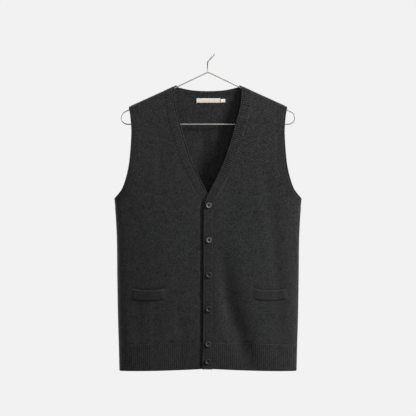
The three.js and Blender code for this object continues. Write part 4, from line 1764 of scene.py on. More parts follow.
        steps = (np.arange(1, 97) / 96) ** (1 / self.neck_ease)
        outer_x, outer_z = self.outer_ends(steps)
        crest_z = form.height(np.full(6, shoulder_end), form.crest_turn * np.array([0.8, 0.55, 0.3, 0.15, 0.05, 0]))
        outer_x = np.concatenate([outer_x, np.full(6, shoulder_end)])
        outer_z = np.concatenate([outer_z, crest_z])
        share_up = (outer_z - self.underarm) / (crest_z[-1] - self.underarm)
        spread = mix(eased, top_x / shoulder_end, share_up[:, None])
        rows_x.append(outer_x[:, None] * spread)
        rows_z.append(mix(self.underarm, top_z, share_up[:, None]))
        x, z = np.concatenate(rows_x), np.concatenate(rows_z)
        x = np.concatenate([-x[:, :0:-1], x], axis=1)
        z = np.concatenate([z[:, :0:-1], z], axis=1)
        cloth = form.places(x, form.reach(x, z), Facing.BACK.value, 1.0)
        middle = x.shape[1] // 2
        start_u = -run_lengths(cloth.points, 1)[:, middle]
        log.debug("back runs up to %s", layout.neck.length)
        return self.wall("back", cloth, start_u)

    def build(self) -> dict[str, bpy.types.Object]:
        """Makes the three panels.

        Returns:
            The panels by the name of the node that each stands for.
        """
        made = {f"{side.word}_front_panel": self.front(side) for side in Side}
        made["back_panel"] = self.back()
        return made


@dataclass
class HemRibs:
    """The ribbed hems of the fronts and the back."""

    room: Workroom
    section: StripSection = StripSection(runs=12, outside=0.7, inside=-0.8)

    def front(self, side: Side) -> bpy.types.Object:
        """Makes the hem of one front, closing up towards the side.

        Args:
            side: which front.

        Returns:
            The hem.
        """
        form, layout = self.room.form, self.room.layout
        neck_x = layout.neck_seam()
        sign = side.value

        def place(t: Array, across: Array) -> Places:
            """The cloth at shares of the hem's length and depth."""
            share = 1 - (1 - t) ** 2
            ends = []
            for start, height in ((form.hem_top, form.hem_line), (form.hem_bottom, form.hem_edge)):
                inner = sign * neck_x(start) + form.sway(start)
                x = mix(inner, sign * form.half_width(start), share)
                ends.append((x, height(x)))
            (top_x, top_z), (low_x, low_z) = ends
            return form.at(mix(top_x, low_x, across), mix(top_z, low_z, across), Facing.FRONT, side)

        return RibbedStrip(f"{side.word}_front_hem", self.section).build(self.room, self._depth, place)

    def back(self) -> bpy.types.Object:
        """Makes the hem of the back, from side to side.

        Returns:
            The hem.
        """
        form = self.room.form

        def place(t: Array, across: Array) -> Places:
            """The cloth at shares of the hem's length and depth."""
            aside = 2 * t - 1
            share = np.sign(aside) * (1 - (1 - np.abs(aside)) ** 2)
            top_x = share * form.half_width(form.hem_top)
            low_x = share * form.half_width(form.hem_bottom)
            z = mix(form.hem_line(top_x), form.hem_edge(low_x), across)
            return form.at(mix(top_x, low_x, across), z, Facing.BACK)

        return RibbedStrip("back_hem", self.section).build(self.room, self._depth, place)

    def _depth(self, t: Array) -> Array:
        """How deep the hem is."""
        return np.full_like(t, self.room.form.hem_top - self.room.form.hem_bottom)

    def build(self) -> dict[str, bpy.types.Object]:
        """Makes the three hems.

        Returns:
            The hems by the name of the node that each stands for.
        """
        made = {f"{side.word}_front_hem_rib": self.front(side) for side in Side}
        made["back_hem_rib"] = self.back()
        return made


@dataclass
class EdgeBands:
    """The ribbed bands: one round each armhole, and the long one up the fronts and round the neck."""

    room: Workroom
    section: StripSection = StripSection(rim_groove=3.3, rounding=1.1, bead=0.5)
    over_edge: float = 1.1

    def armhole(self, side: Side) -> bpy.types.Object:
        """Makes the band round one armhole.

        Args:
            side: which armhole.

        Returns:
            The band.
        """
        form, band = self.room.form, self.room.layout.armhole

        def at(t: Array) -> Array:
            """Distance along half of the ring, from the underarm up."""
            return band.length * (1 - np.abs(2 * t - 1)) ** 2

        def place(t: Array, share: Array) -> Places:
            """The cloth at shares of the band's length and width."""
            facing = np.where(t < 0.5, -1.0, 1.0)
            x, reach = band.place(at(t), share)
            return form.places(side.value * x, reach, facing, side.value)

        strip = RibbedStrip(f"{side.word}_armhole", self.section, closed=True)
        return strip.build(self.room, lambda t: band.width(at(t)), place)

    def neck(self) -> bpy.types.Object:
        """Makes the band up the left front edge, round the neck and down the right front edge.

        Returns:
            The band.
        """
        form, band = self.room.form, self.room.layout.neck

        def at(t: Array) -> Array:
            """Distance along half of the band, from the hem to the middle of the back."""
            return band.length * (1 - np.abs(2 * t - 1))

        def place(t: Array, share: Array) -> Places:
            """The cloth at shares of the band's length and width."""
            side = np.where(t < 0.5, 1.0, -1.0)
            x, reach = band.place(at(t), share)
            facing = np.where(reach < 0, -1.0, 1.0)
            z = form.height(x, reach)
            wave = np.sin(z / 13.5) * np.sin(z / 31 + 0.8) + 0.5 * np.sin(z / 7.3)
            edge = (0.55 * wave - self.over_edge * (side > 0)) * share
            edge *= (1 - smooth(z, -300, -270)) * (reach < 0)
            return form.places(side * x + edge + form.sway(z), reach, facing, side)

        strip = RibbedStrip("neck_and_front_edge", self.section, rib_height=1.1, end_ribs=0.45)
        return strip.build(self.room, lambda t: band.width(at(t)), place)

    def build(self) -> dict[str, bpy.types.Object]:
        """Makes the three bands.

        Returns:
            The bands by the name of the node that each stands for.
        """
        made = {f"{side.word}_armhole_band": self.armhole(side) for side in Side}
        made["neck_and_front_band"] = self.neck()
        return made


@dataclass
class PocketWelts:
    """The ribbed welts of the two pockets."""

    room: Workroom
    section: StripSection = StripSection(outside=1.3, inside=-0.7, rim=0.3, rounding=1.5, runs=5, inside_ribs=0.0)
    pitch: float = 5.1
    lift: float = 2.1
    end_sink: float = 2.3

    def build(self) -> dict[str, bpy.types.Object]:
        """Makes both welts.

        Returns:
            The welts by the name of the node that each stands for.
        """
        made = {}
        for pocket in self.room.form.pockets:
            made[f"{pocket.side.word}_pocket_welt"] = self.welt(pocket)
        return made

    def welt(self, pocket: Pocket) -> bpy.types.Object:
        """Makes one welt: its free edge is the pocket's mouth, along its top.

        Args:
            pocket: which pocket.

        Returns:
            The welt.
        """
        form = self.room.form

        def place(t: Array, share: Array) -> Places:
            """The cloth under the welt, moved out to the welt's middle."""
            x, z = pocket.place(2 * t - 1, 1 - share)
            cloth = form.at(x, z, Facing.FRONT, pocket.side, mouths=False)
            aside = np.abs(2 * t - 1)
            gape = 0.7 * share * (1 - aside**4) - self.end_sink * smooth(aside, 0.8, 1.0)
            return Places(cloth.lifted(self.lift + gape), cloth.normals)

        strip = RibbedStrip(f"{pocket.side.word}_welt", self.section, pitch=self.pitch, rib_height=0.5)
        return strip.build(self.room, lambda t: np.full_like(t, pocket.top - pocket.bottom), place)


@dataclass
class WireHanger:
    """The bent wire hanger: a closed triangle, and a hook seen edge on that leans over the rail."""

    radius: float = 1.5
    sides: int = 16
    arm_angle: float = math.atan(0.478)
    arms_cross: float = 31.3
    apex_bend: float = 12.0
    end_bend: float = 16.0
    lower_bar: float = -95.0
    shank_x: float = -1.2
    shank_top: float = 55.6
    lean: float = math.radians(40.5)
    hook_radius: float = 18.0
    hook_middle: float = 8.7
    shank_bend: tuple[tuple[float, float], ...] = ((0, -14), (-3.5, -8), (-11.5, -3.5))
    hook_from: float = math.radians(200)
    hook_to: float = math.radians(-20)

    def on_hook(self, depth: Any, along: Any) -> Array:
        """Places on the hook by their depth and their distance along it.

        Args:
            depth: behind the middle of the hanger.
            along: up the shank, then along the leaning hook.

        Returns:
            The points.
        """
        depth, along = np.broadcast_arrays(np.asarray(depth, float), np.asarray(along, float))
        leaning = np.maximum(along, 0)
        return np.stack(
            [
                self.shank_x + leaning * math.sin(self.lean),
                depth,
                self.shank_top + np.minimum(along, 0) + leaning * math.cos(self.lean),
            ],
            axis=-1,
        )

    def seat(self) -> Array:
        """Where the rail touches the hook, inside the top of its arc."""
        return self.on_hook(0, self.hook_middle + self.hook_radius - self.radius)

    def outline(self) -> Array:
        """The middle of the wire round the closed triangle.

        Returns:
            The points in order.
        """
        upright = math.pi / 2
        end_z = self.lower_bar + self.end_bend
        end_x = (self.arms_cross - end_z - self.end_bend / math.cos(self.arm_angle)) / math.tan(self.arm_angle)
        apex_z = self.arms_cross - self.apex_bend / math.cos(self.arm_angle)
        bends = (
            (0.0, apex_z, self.apex_bend, upright + self.arm_angle, upright - self.arm_angle),
            (end_x, end_z, self.end_bend, upright - self.arm_angle, -upright),
            (-end_x, end_z, self.end_bend, -upright, self.arm_angle - 3 * upright),
        )
        places = []
        for x, z, radius, start, end in bends:
            angles = np.linspace(start, end, 15)
            places.append(
                np.stack([x + radius * np.cos(angles), 0 * angles, z + radius * np.sin(angles)], axis=-1)
            )
        corners = np.concatenate(places)
        finer = []
        for here, ahead in zip(corners, np.roll(corners, -1, axis=0)):
            pieces = max(1, round(float(np.linalg.norm(ahead - here)) / 12))
            finer.append(mix(here, ahead, np.linspace(0, 1, pieces, endpoint=False)[:, None]))
        return np.concatenate(finer)

    def hook_path(self) -> Array:
        """The middle of the wire from the top of the triangle to the end of the hook.

        Returns:
            The points in order.
        """
        apex = self.arms_cross - self.apex_bend * (1 / math.cos(self.arm_angle) - 1)
        foot = apex + self.radius * 0.6 - self.shank_top
        angles = np.linspace(self.hook_from, self.hook_to, 12)
        arc = self.on_hook(
            self.hook_radius * np.cos(angles), self.hook_middle + self.hook_radius * np.sin(angles)
        )
        bend = [self.on_hook(depth, along) for depth, along in self.shank_bend]
        places = np.concatenate([[self.on_hook(0, foot)], bend, arc])
        runs = run_lengths(places, 0)
        fine = np.linspace(0, runs[-1], 90)
        return np.stack([Curve(runs, column)(fine) for column in places.T], axis=-1)

    def tube(self, name: str, path: Array, closed: bool, material: bpy.types.Material) -> bpy.types.Object:
        """Makes a round wire along a path, with rounded ends where it is open.

        Args:
            name: the piece's name.
            path: the middle of the wire.
            closed: whether it ends where it began.
            material: its finish.

        Returns:
            The piece.
        """
        if closed:
            ahead = np.roll(path, -1, axis=0) - np.roll(path, 1, axis=0)
        else:
            ahead = np.gradient(path, axis=0)
        ahead /= np.linalg.norm(ahead, axis=1, keepdims=True)
        radii = np.full(len(path), self.radius)
        if not closed:
            path, ahead, radii = self._round_ends(path, ahead, radii)
        aside = [np.cross(ahead[0], [0.3, 1.0, 0.1])]
        for direction in ahead[1:]:
            aside.append(aside[-1] - direction * aside[-1].dot(direction))
        across = np.array([v / np.linalg.norm(v) for v in aside])
        up = np.cross(ahead, across)
        angles = np.linspace(0, 2 * math.pi, self.sides, endpoint=False)
        rings = path[:, None] + radii[:, None, None] * (
            across[:, None] * np.cos(angles)[:, None] + up[:, None] * np.sin(angles)[:, None]
        )
        count = len(path)
        k, m = np.meshgrid(np.arange(count if closed else count - 1), np.arange(self.sides), indexing="ij")
        after = (k + 1) % count
        beside = (m + 1) % self.sides
        corners = [k * self.sides + m, after * self.sides + m]
        corners += [after * self.sides + beside, k * self.sides + beside]
        faces = np.stack(corners, axis=-1).reshape(-1, 4)
        first = list(range(self.sides))
        last = [(count - 1) * self.sides + i for i in first]
        piece = new_piece(name, rings.reshape(-1, 3), faces, caps=() if closed else (first, last[::-1]))
        piece.data.materials.append(material)
        return piece

    def _round_ends(self, path: Array, ahead: Array, radii: Array) -> tuple[Array, Array, Array]:
        """Adds rings of falling radius at both ends of a wire."""
        steps = np.array([0.94, 0.75, 0.45])
        out = np.array([0.35, 0.7, 0.92]) * self.radius
        start = path[0] - ahead[0] * out[::-1, None]
        end = path[-1] + ahead[-1] * out[:, None]
        path = np.concatenate([start, path, end])
        ahead = np.concatenate([np.tile(ahead[0], (3, 1)), ahead, np.tile(ahead[-1], (3, 1))])
        radii = np.concatenate([self.radius * steps[::-1], radii, self.radius * steps])
        return path, ahead, radii

    def build(self, material: bpy.types.Material) -> dict[str, bpy.types.Object]:
        """Makes both wires.

        Args:
            material: their finish.

        Returns:
            The wires by the name of the node that each stands for.
        """
        return {
            "hanger_frame": self.tube("wire_triangle", self.outline(), True, material),
            "hanger_hook": self.tube("wire_hook", self.hook_path(), False, material),
        }


@dataclass
class Buttons:
    """Six sewn-through buttons, their thread and the worked buttonholes under them."""

    room: Workroom
    radius: float = 7.5
    peak: float = 1.6
    lay: float = 0.35
    hole_radius: float = 0.9
    hole_out: float = 1.9
    segments: int = 48
    # How strong the painted rim highlight is on each button, from the top down.
    rim_highlight_shares: tuple[float, ...] = (0.95, 0.95, 0.24, 0.22, 0.32, 0.18)
    profile: tuple[tuple[float, float], ...] = (
        (0.0, 0.0),
        (5.4, 0.0),
        (6.3, 0.25),
        (7.1, 0.8),
        (7.5, 1.5),
        (7.46, 2.2),
        (7.1, 2.85),
        (6.6, 3.15),
        (6.0, 3.2),
        (5.3, 3.17),
        (4.6, 3.05),
        (4.0, 2.75),
        (3.5, 2.2),
        (3.0, 1.75),
        (2.2, 1.5),
        (0.0, 1.45),
    )

    def blank(self) -> bpy.types.Object:
        """Makes one button about the garment's zero, its back at y = 0 and its face towards -y.

        Returns:
            The button.
        """
        angles = np.linspace(0, 2 * math.pi, self.segments, endpoint=False)
        rings = [
            np.stack([r * np.cos(angles), np.full_like(angles, -h), r * np.sin(angles)], axis=-1)
            for r, h in self.profile[1:-1]
        ]
        points = np.concatenate([*rings, [[0, 0, 0]], [[0, -self.profile[-1][1], 0]]])
        count = len(rings)
        k, m = np.meshgrid(np.arange(count - 1), np.arange(self.segments), indexing="ij")
        beside = (m + 1) % self.segments
        corners = [k * self.segments + m, (k + 1) * self.segments + m]
        corners += [(k + 1) * self.segments + beside, k * self.segments + beside]
        faces = np.stack(corners, axis=-1).reshape(-1, 4)
        low, high = count * self.segments, count * self.segments + 1
        fans = []
        for i in range(self.segments):
            after = (i + 1) % self.segments
            fans.append([low, i, after])
            fans.append([high, (count - 1) * self.segments + after, (count - 1) * self.segments + i])
        out = np.hypot(points[:, 0], points[:, 2])
        # Painted highlight: a ring round the button's face, kept on its vertices.
        rim_glint = np.exp(-(((out - 4.9) / 0.95) ** 2)) * (points[:, 1] < -1)
        button = new_piece("button_blank", points, faces, caps=fans, numbers={"painted_rim_highlight": rim_glint})
        for i in range(4):
            angle = (i + 0.5) * math.pi / 2
            self._drill(button, self.hole_out * math.cos(angle), self.hole_out * math.sin(angle))
        button.data.materials.append(self.room.resin)
        return button

    def _drill(self, button: bpy.types.Object, x: float, z: float) -> None:
        """Cuts one thread hole through a button."""
        angles = np.linspace(0, 2 * math.pi, 14, endpoint=False)
        ring = np.stack([x + self.hole_radius * np.cos(angles), z + self.hole_radius * np.sin(angles)], axis=-1)
        ends = [np.insert(ring, 1, y, axis=1) for y in (3.0, -6.0)]
        i = np.arange(14)
        faces = np.stack([i, i + 14, (i + 1) % 14 + 14, (i + 1) % 14], axis=-1)
        tool = new_piece("drill", np.concatenate(ends), faces, caps=([*range(14)], [*range(27, 13, -1)]))
        cut = button.modifiers.new("hole", "BOOLEAN")
        cut.operation = "DIFFERENCE"
        cut.solver = "EXACT"
        cut.object = tool
        settle(button)
        bpy.data.objects.remove(tool)

    def thread(self, name: str) -> bpy.types.Object:
        """Makes the strands that cross from hole to hole, about the garment's zero.

        Args:
            name: the piece's name.

        Returns:
            The thread.
        """
        hanger = WireHanger(radius=0.34, sides=8)
        strands = []
        out = self.hole_out * math.cos(math.pi / 4)
        for x in (-out, out):
            for shift in (-0.3, 0.0, 0.3):
                t = np.linspace(-1, 1, 13)
                y = -(0.9 + 1.2 * (1 - np.abs(t) ** 4)) - (0.12 if shift == 0 else 0.0)
                path = np.stack([x + shift * (1 - 0.5 * t * t), y, out * 1.05 * t], axis=-1)
                strands.append(hanger.tube(f"{name}_strand", path, False, self.room.button_thread))
        return join(name, strands)

    def hole_stitches(self, name: str, x: float, z: float) -> bpy.types.Object:
        """Works the buttonhole's stitches round a slit across the band.

        Args:
            name: the piece's name.
            x: the button's place across the garment.
            z: its height.

        Returns:
            The stitches.
        """
        half_long, half_wide = 7.7, 1.1
        angles = np.linspace(0, 2 * math.pi, 61)
        px = x - 0.4 + np.sign(np.cos(angles)) * half_long * np.abs(np.cos(angles)) ** 0.6
        pz = z + half_wide * np.sin(angles)
        places = self.room.form.at(px, pz, Facing.FRONT, Side.LEFT)
        values = {
            "Pitch": 0.7 * MM,
            "Stitch_Length": 1.9 * MM,
            "Rise": 0.3 * MM,
            "Thickness": 0.28 * MM,
            "Lean": math.pi / 2,
        }
        return self.room.sew(name, places, 1.35, self.room.button_thread, **values)

    def build(self) -> list[tuple[str, bpy.types.Object, list[bpy.types.Object]]]:
        """Makes every button with its thread and its buttonhole.

        Returns:
            For each button, the node that it stands for, the button and its sewing.
        """
        blank = self.blank()
        thread = self.thread("thread_blank")
        made = []
        form = self.room.form
        for number, (x, z) in enumerate(form.buttons, start=1):
            y = float(form.at(x, z, Facing.FRONT, Side.LEFT).points[1]) - self.peak - self.lay
            turn = math.radians(7 * math.sin(2.4 * number))
            moved = []
            for pattern, word in ((blank, "button"), (thread, "button_thread")):
                piece = pattern.copy()
                piece.data = pattern.data.copy()
                piece.name = f"{word}_piece_{number}"
                piece.data.name = piece.name
                if pattern is blank:
                    self._scale_rim_highlight(piece, self.rim_highlight_shares[number - 1])
                bpy.context.scene.collection.objects.link(piece)
                self._put(piece, np.array([x, y, z]), turn)
                moved.append(piece)
            hole = self.hole_stitches(f"buttonhole_{number}", x, z)
            made.append((f"button_{number}", moved[0], [moved[1], hole]))
        for pattern in (blank, thread):
            bpy.data.objects.remove(pattern)
        return made

    def _scale_rim_highlight(self, button: bpy.types.Object, share: float) -> None:
        """Scales the painted highlight on a button's rim by a share."""
        rim_glint = button.data.attributes["painted_rim_highlight"].data
        values = np.empty(len(rim_glint), dtype=np.float32)
        rim_glint.foreach_get("value", values)
        rim_glint.foreach_set("value", values * share)

    def _put(self, piece: bpy.types.Object, place: Array, turn: float) -> None:
        """Turns a button or its thread about its middle and moves it to its place."""
        count = len(piece.data.vertices)
        flat = np.empty(count * 3, dtype=np.float32)
        piece.data.vertices.foreach_get("co", flat)
        zero = to_frame(np.zeros(3))
        points = flat.reshape(-1, 3) - zero
        c, s = math.cos(turn), math.sin(turn)
        turned = np.stack(
            [c * points[:, 0] - s * points[:, 2], points[:, 1], s * points[:, 0] + c * points[:, 2]], axis=-1
        )
        piece.data.vertices.foreach_set("co", (turned + to_frame(place)).astype(np.float32).ravel())
        piece.data.update()


@dataclass(frozen=True)
class LabelPatch:
    """Where a woven label lies inside the back neck, in millimetres."""

    node: str
    left: float
    right: float
    top: float
    bottom: float


@dataclass
class Labels:
    """The bare woven label and size tab inside the back neck."""

    room: Workroom
    face: float = 1.75
    thickness: float = 0.55
    patches: tuple[LabelPatch, ...] = (
        LabelPatch("neck_label", -28.2, 29.8, -31.8, -42.7),
        LabelPatch("size_label", 30.9, 41.3, -33.6, -41.8),
    )

    def patch(self, patch: LabelPatch, material: bpy.types.Material) -> bpy.types.Object:
        """Makes one label as a thin wall with folded ends.

        Args:
            patch: where it lies.
            material: its finish.

        Returns:
            The label.
        """
        columns = max(12, round(patch.right - patch.left))
        rows = 14
        x = np.linspace(patch.left, patch.right, columns)
        z = np.linspace(patch.bottom, patch.top, rows)
        grid_x, grid_z = np.meshgrid(x, z)
        cloth = self.room.form.places(grid_x, self.room.form.reach(grid_x, grid_z), 1.0, 1.0)
        near = np.minimum(grid_x - patch.left, patch.right - grid_x)
        folded = 0.25 * (1 - smooth(near, 2.4, 3.2))
        puff = 0.35 * np.sin(math.pi * (grid_z - patch.bottom) / (patch.top - patch.bottom))
        wave = 0.12 * np.sin(grid_x / 3.1) * np.sin(grid_x / 7.9 + 1)
        inner = cloth.lifted(-(self.face + self.thickness + puff + folded + wave))
        outer = cloth.lifted(-(self.face + 0 * puff))
        both = np.concatenate([outer.reshape(-1, 3), inner.reshape(-1, 3)])
        size = rows * columns
        number = np.arange(size).reshape(rows, columns)
        border = np.concatenate([number[0, :-1], number[:-1, -1], number[-1, :0:-1], number[:0:-1, 0]])
        after = np.roll(border, -1)
        rim = np.stack([border, after, after + size, border + size], axis=-1)
        faces = np.concatenate([grid_faces(rows, columns)[:, ::-1], grid_faces(rows, columns, size), rim[:, ::-1]])
        uv = np.stack([grid_x, grid_z], axis=-1).reshape(-1, 2) * MM
        piece = new_piece(f"{patch.node}_tape", both, faces, np.concatenate([uv, uv]))
        piece.data.materials.append(material)
        return piece

    def stitches(self, patch: LabelPatch) -> bpy.types.Object:
        """Sews the label down along both of its ends.

        Args:
            patch: the label.

        Returns:
            The stitches.
        """
        rows = []
        for number, x in enumerate((patch.left + 1.2, patch.right - 1.2)):
            z = np.linspace(patch.bottom + 0.6, patch.top - 0.6, 14)
            cloth = self.room.form.at(np.full_like(z, x), z, Facing.BACK)
            inward = Places(cloth.points, -cloth.normals)
            values = {"Pitch": 1.6 * MM, "Stitch_Length": 1.3 * MM, "Rise": 0.16 * MM, "Thickness": 0.16 * MM}
            name = f"{patch.node}_stitches_{number}"
            lift = self.face + self.thickness + 0.35
            rows.append(self.room.sew(name, inward, lift, self.room.label_thread, **values))
        return join(f"{patch.node}_stitches", rows)

    def build(self) -> list[tuple[str, bpy.types.Object, bpy.types.Object]]:
        """Makes both labels and their stitches.

        Returns:
            The node that each label stands for, the label and its stitches.
        """
        made = []
        for patch, material in zip(self.patches, (self.room.label, self.room.size_tab)):
            made.append((patch.node, self.patch(patch, material), self.stitches(patch)))
        return made


@dataclass
class Seams:
    """The linked seams between the pieces, and the bars that hold the pocket welts."""

    room: Workroom
    groove: float = 0.55

    def along_neck(self) -> bpy.types.Object:
        """Links the long band to the body.

        Returns:
            The stitches.
        """
        form, band = self.room.form, self.room.layout.neck
        t = np.linspace(0.0, 1.0, 900)
        at = band.length * (1 - np.abs(2 * t - 1))
        side = np.where(t < 0.5, 1.0, -1.0)
        x, reach = band.place(at, 0.3 / band.width(at))
        facing = np.where(reach < 0, -1.0, 1.0)
        places = form.places(side * x + form.sway(form.height(x, reach)), reach, facing, side)
        return self.room.sew("neck_seam", places, self.groove, self.room.seam_yarn)

    def inside_neck(self) -> bpy.types.Object:
        """Rolls the seam of the long band over on the inside.

        Returns:
            The rolled stitches.
        """
        form, band = self.room.form, self.room.layout.neck
        t = np.linspace(0.02, 0.98, 900)
        at = band.length * (1 - np.abs(2 * t - 1))
        side = np.where(t < 0.5, 1.0, -1.0)
        x, reach = band.place(at, 0.3 / band.width(at))
        facing = np.where(reach < 0, -1.0, 1.0)
        places = form.places(side * x + form.sway(form.height(x, reach)), reach, facing, side)
        inward = Places(places.points, -places.normals)
        return self.room.sew("neck_seam_inside", inward, 0.7, self.room.seam_yarn, Thickness=0.62 * MM)

    def along_armhole(self, side: Side) -> bpy.types.Object:
        """Links the band of one armhole to the body.

        Args:
            side: which armhole.

        Returns:
            The stitches.
        """
        form, band = self.room.form, self.room.layout.armhole
        t = np.linspace(0, 1, 500)
        at = band.length * (1 - np.abs(2 * t - 1)) ** 2
        x, reach = band.place(at, 0.3 / band.width(at))
        places = form.places(side.value * x, reach, np.where(t < 0.5, -1.0, 1.0), side.value)
        return self.room.sew(f"{side.word}_armhole_seam", places, self.groove, self.room.seam_yarn)

    def along_hem(self, facing: Facing, side: Side) -> bpy.types.Object:
        """Links the hem to the body.

        Args:
            facing: in front or behind.
            side: the front, or the left side for the whole back.

        Returns:
            The stitches.
        """
        form = self.room.form
        t = np.linspace(0, 1, 300)
        width = float(form.half_width(form.hem_top))
        if facing is Facing.FRONT:
            start = side.value * float(self.room.layout.neck_seam()(form.hem_top))
            x = mix(start, side.value * width, 1 - (1 - t) ** 2)
            name = f"{side.word}_front_hem_seam"
        else:
            aside = 2 * t - 1
            x = np.sign(aside) * (1 - (1 - np.abs(aside)) ** 2) * width
            name = "back_hem_seam"
        places = form.at(x, form.hem_line(x), facing, side)
        return self.room.sew(name, places, self.groove, self.room.seam_yarn)

    def down_side(self, side: Side) -> bpy.types.Object:
        """Joins the front and the back down one side.

        Args:
            side: which side.

        Returns:
            The stitches.
        """
        form = self.room.form
        z = np.linspace(float(form.hem_edge(np.array(form.hem_half))) + 3, self.room.layout.underarm_seam - 1, 260)
        x = side.value * form.half_width(z)
        points = np.stack([x, 0 * z, z], axis=-1)
        outward = np.tile([float(side.value), 0.0, 0.0], (len(z), 1))
        return self.room.sew(f"{side.word}_side_seam", Places(points, outward), self.groove, self.room.seam_yarn)

    def over_shoulder(self, side: Side) -> bpy.types.Object:
        """Joins the front and the back along one shoulder.

        Args:
            side: which shoulder.

        Returns:
            The stitches.
        """
        form, layout = self.room.form, self.room.layout
        start = float(layout.neck.place(layout.neck_crest, 0.0)[0])
        end = float(layout.armhole.place(layout.armhole.length, 0.0)[0])
        x = side.value * np.linspace(start + 0.8, end - 0.8, 60)
        places = form.places(x, np.zeros_like(x), 1.0, side.value)
        return self.room.sew(f"{side.word}_shoulder_seam", places, self.groove, self.room.seam_yarn)

    def round_pocket(self, pocket: Pocket) -> bpy.types.Object:
        """Sews the welt down along its bottom and its ends.

        Args:
            pocket: which pocket.

        Returns:
            The stitches.
        """
        down = np.concatenate([np.linspace(0.06, 1, 14), np.ones(60), np.linspace(1, 0.06, 14)])
        across = np.concatenate([np.full(14, -1.0), np.linspace(-1, 1, 60), np.full(14, 1.0)])
        x, z = pocket.place(across, down)
        places = self.room.form.at(x, z, Facing.FRONT, pocket.side)
        name = f"{pocket.side.word}_pocket_seam"
        return self.room.sew(name, places, 1.35, self.room.seam_yarn, Thickness=0.36 * MM)

    def build(self) -> list[bpy.types.Object]:
        """Makes every seam.

        Returns:
            The seams.
        """
        made = [self.along_neck(), self.inside_neck(), self.along_hem(Facing.BACK, Side.LEFT)]
        for side in Side:
            made.append(self.along_armhole(side))
            made.append(self.along_hem(Facing.FRONT, side))
            made.append(self.down_side(side))
            made.append(self.over_shoulder(side))
        made += [self.round_pocket(pocket) for pocket in self.room.form.pockets]
        return made


@dataclass
class Studio:
    """A round pale studio, soft lights and the camera at the photograph's angle, in metres."""

    eye: tuple[float, float, float] = (-0.01517, -6.0, -0.3722)
    lens: float = 214.7
    floor: float = -1.9
    wall_radius: float = 9.0
    wall_top: float = 6.0
    cove: float = 1.5
    finish: StudioFinish = StudioFinish("studio paint", (0.03, 0.03, 0.03), 0.85, 0.6)
    sky: float = 0.86

    def build(self) -> None:
        """Makes the room, the lights and the camera."""
        self._room()
        self._lights()
        self._camera()
        scene = bpy.context.scene
        scene.view_settings.view_transform = "Standard"
        world = bpy.data.worlds.new("studio sky")
        world.use_nodes = True
        tree = Tree(world.node_tree)
        sky = tree.node("ShaderNodeBackground", inputs={"Color": (1, 1, 1, 1), "Strength": self.sky})
        tree.node("ShaderNodeOutputWorld", inputs={"Surface": sky.outputs[0]})
        scene.world = world

    def _room(self) -> None:
        """The floor, rounded up into a wall all round."""
        low = self.floor + self.cove
        inner = self.wall_radius - self.cove
        profile = [(0.02, self.floor), (inner * 0.5, self.floor), (inner, self.floor)]
        for i in range(1, 12):
            angle = i / 12 * math.pi / 2
            profile.append((inner + self.cove * math.sin(angle), low - self.cove * math.cos(angle)))
        profile += [(self.wall_radius, low), (self.wall_radius, self.wall_top)]
        sides = 96
        angles = np.linspace(0, 2 * math.pi, sides, endpoint=False)
        points = np.concatenate(
            [np.stack([r * np.cos(angles), r * np.sin(angles), np.full(sides, z)], axis=-1) for r, z in profile]
        )
        k, m = np.meshgrid(np.arange(len(profile) - 1), np.arange(sides), indexing="ij")
        beside = (m + 1) % sides
        corners = [k * sides + m, k * sides + beside, (k + 1) * sides + beside, (k + 1) * sides + m]
        faces = np.stack(corners, axis=-1).reshape(-1, 4)
        mesh = bpy.data.meshes.new("studio_floor")
        mesh.from_pydata(points.tolist(), [], [*faces.tolist(), list(range(sides))])
        mesh.shade_smooth()
        mesh.materials.append(self.finish.build())
        room = bpy.data.objects.new("studio_floor", mesh)
        bpy.context.scene.collection.objects.link(room)

    def _lights(self) -> None:
        """A soft light from the right in front, a weaker one from the left, and two like them behind."""
        target = Vector((self.eye[0], 0.0, self.eye[2]))
        lamps = (
            ("key", Vector((2.55, -1.35, 1.4)), 0.9, 500.0),
            ("fill", Vector((0.8, -3.5, 1.1)), 1.6, 84.0),
            ("rear_key", Vector((-2.6, 1.4, 1.4)), 0.9, 480.0),
            ("rear_fill", Vector((1.9, 2.9, 1.0)), 1.8, 120.0),
        )
        for name, place, size, power in lamps:
            light = bpy.data.lights.new(name, "AREA")
            light.size = size
            light.energy = power
            lamp = bpy.data.objects.new(name, light)
            lamp.location = place
            lamp.rotation_euler = (target - place).to_track_quat("-Z", "Y").to_euler()
            bpy.context.scene.collection.objects.link(lamp)

    def _camera(self) -> None:
        """The camera, level and square to the front."""
        data = bpy.data.cameras.new("camera")
        data.lens = self.lens
        data.sensor_width = 36.0
        camera = bpy.data.objects.new("camera", data)
        camera.location = self.eye
        camera.rotation_euler = (math.radians(90), 0, 0)
        bpy.context.scene.collection.objects.link(camera)
        bpy.context.scene.camera = camera


@dataclass(frozen=True)
class Cut:
    """The flat cut of a piece of cloth, in metres and square metres."""

    width: float
    length: float
    area: float | None = None


def attach(piece: bpy.types.Object, slot: str, *nodes: str) -> None:
    """Makes a piece ride on the part and hides the nodes that it stands for.

    Args:
        piece: the piece.
        slot: not used.
        nodes: the nodes that the piece stands for.
    """
    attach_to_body(piece, BODY)
    if nodes:
        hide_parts(*nodes)
    log.info("%s: %d faces", piece.name, len(piece.data.polygons))


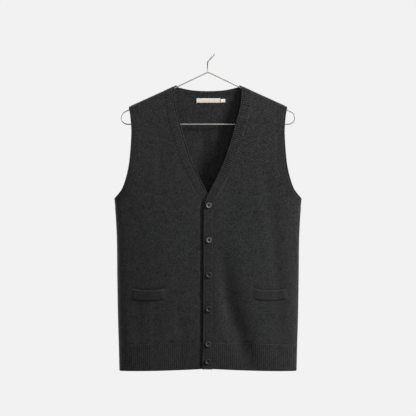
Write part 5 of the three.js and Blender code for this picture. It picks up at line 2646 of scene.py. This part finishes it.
def open_workroom() -> Workroom:
    """Makes what every sub-assembly shares.

    Returns:
        The workroom.
    """
    form = ClothForm()
    return Workroom(
        form=form,
        layout=BandLayout(form),
        jersey=KnitFinish("charcoal jersey", (0.0029, 0.0029, 0.003), (0.0138, 0.0138, 0.0141), mottle=1.08).build(),
        rib=KnitFinish(
            "charcoal rib", (0.0031, 0.0031, 0.0032), (0.0129, 0.0129, 0.0132), wale=2.5, mottle=0.85
        ).build(),
        seam_yarn=ThreadFinish("seam yarn", (0.011, 0.011, 0.0115)).build(),
        button_thread=ThreadFinish("button thread", (0.007, 0.007, 0.0075), ply=0.3).build(),
        label=WovenFinish("cream label tape", (0.22, 0.199, 0.174), (0.142, 0.128, 0.111)).build(),
        size_tab=WovenFinish("white size tab", (0.257, 0.245, 0.226), (0.183, 0.171, 0.156)).build(),
        label_thread=ThreadFinish("label thread", (0.6, 0.55, 0.48), ply=0.2).build(),
        resin=ResinFinish("grey resin", (0.002, 0.002, 0.0022), (0.005, 0.005, 0.0055), (0.075, 0.075, 0.078)).build(),
        wire=WireFinish("steel wire", (0.17, 0.163, 0.15), (0.098, 0.093, 0.086)).build(),
        ribs=rib_grower(),
        stitches=stitch_grower(),
    )


def main() -> None:
    """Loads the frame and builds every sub-assembly in order."""
    logging.basicConfig(level=logging.INFO, format="%(name)s: %(message)s")
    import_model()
    Studio().build()
    room = open_workroom()

    hanger = WireHanger().build(room.wire)
    for node, piece in hanger.items():
        attach(piece, "wire", node)

    labels = Labels(room).build()
    for (node, tape, stitches), slot in zip(labels, ("label", "size_tab")):
        attach(tape, slot, node)
        attach(stitches, slot)

    panels = BodyPanels(room).build()
    strips = {**HemRibs(room).build(), **EdgeBands(room).build(), **PocketWelts(room).build()}
    for node, piece in panels.items():
        attach(piece, "jersey", node)
    for node, piece in strips.items():
        attach(piece, "rib", node)
    seams = Seams(room).build()
    for seam in seams:
        attach(seam, "rib")

    for node, button, sewing in Buttons(room).build():
        attach(button, "button", node)
        for piece in sewing:
            attach(piece, "button")


if __name__ == "__main__":
    main()
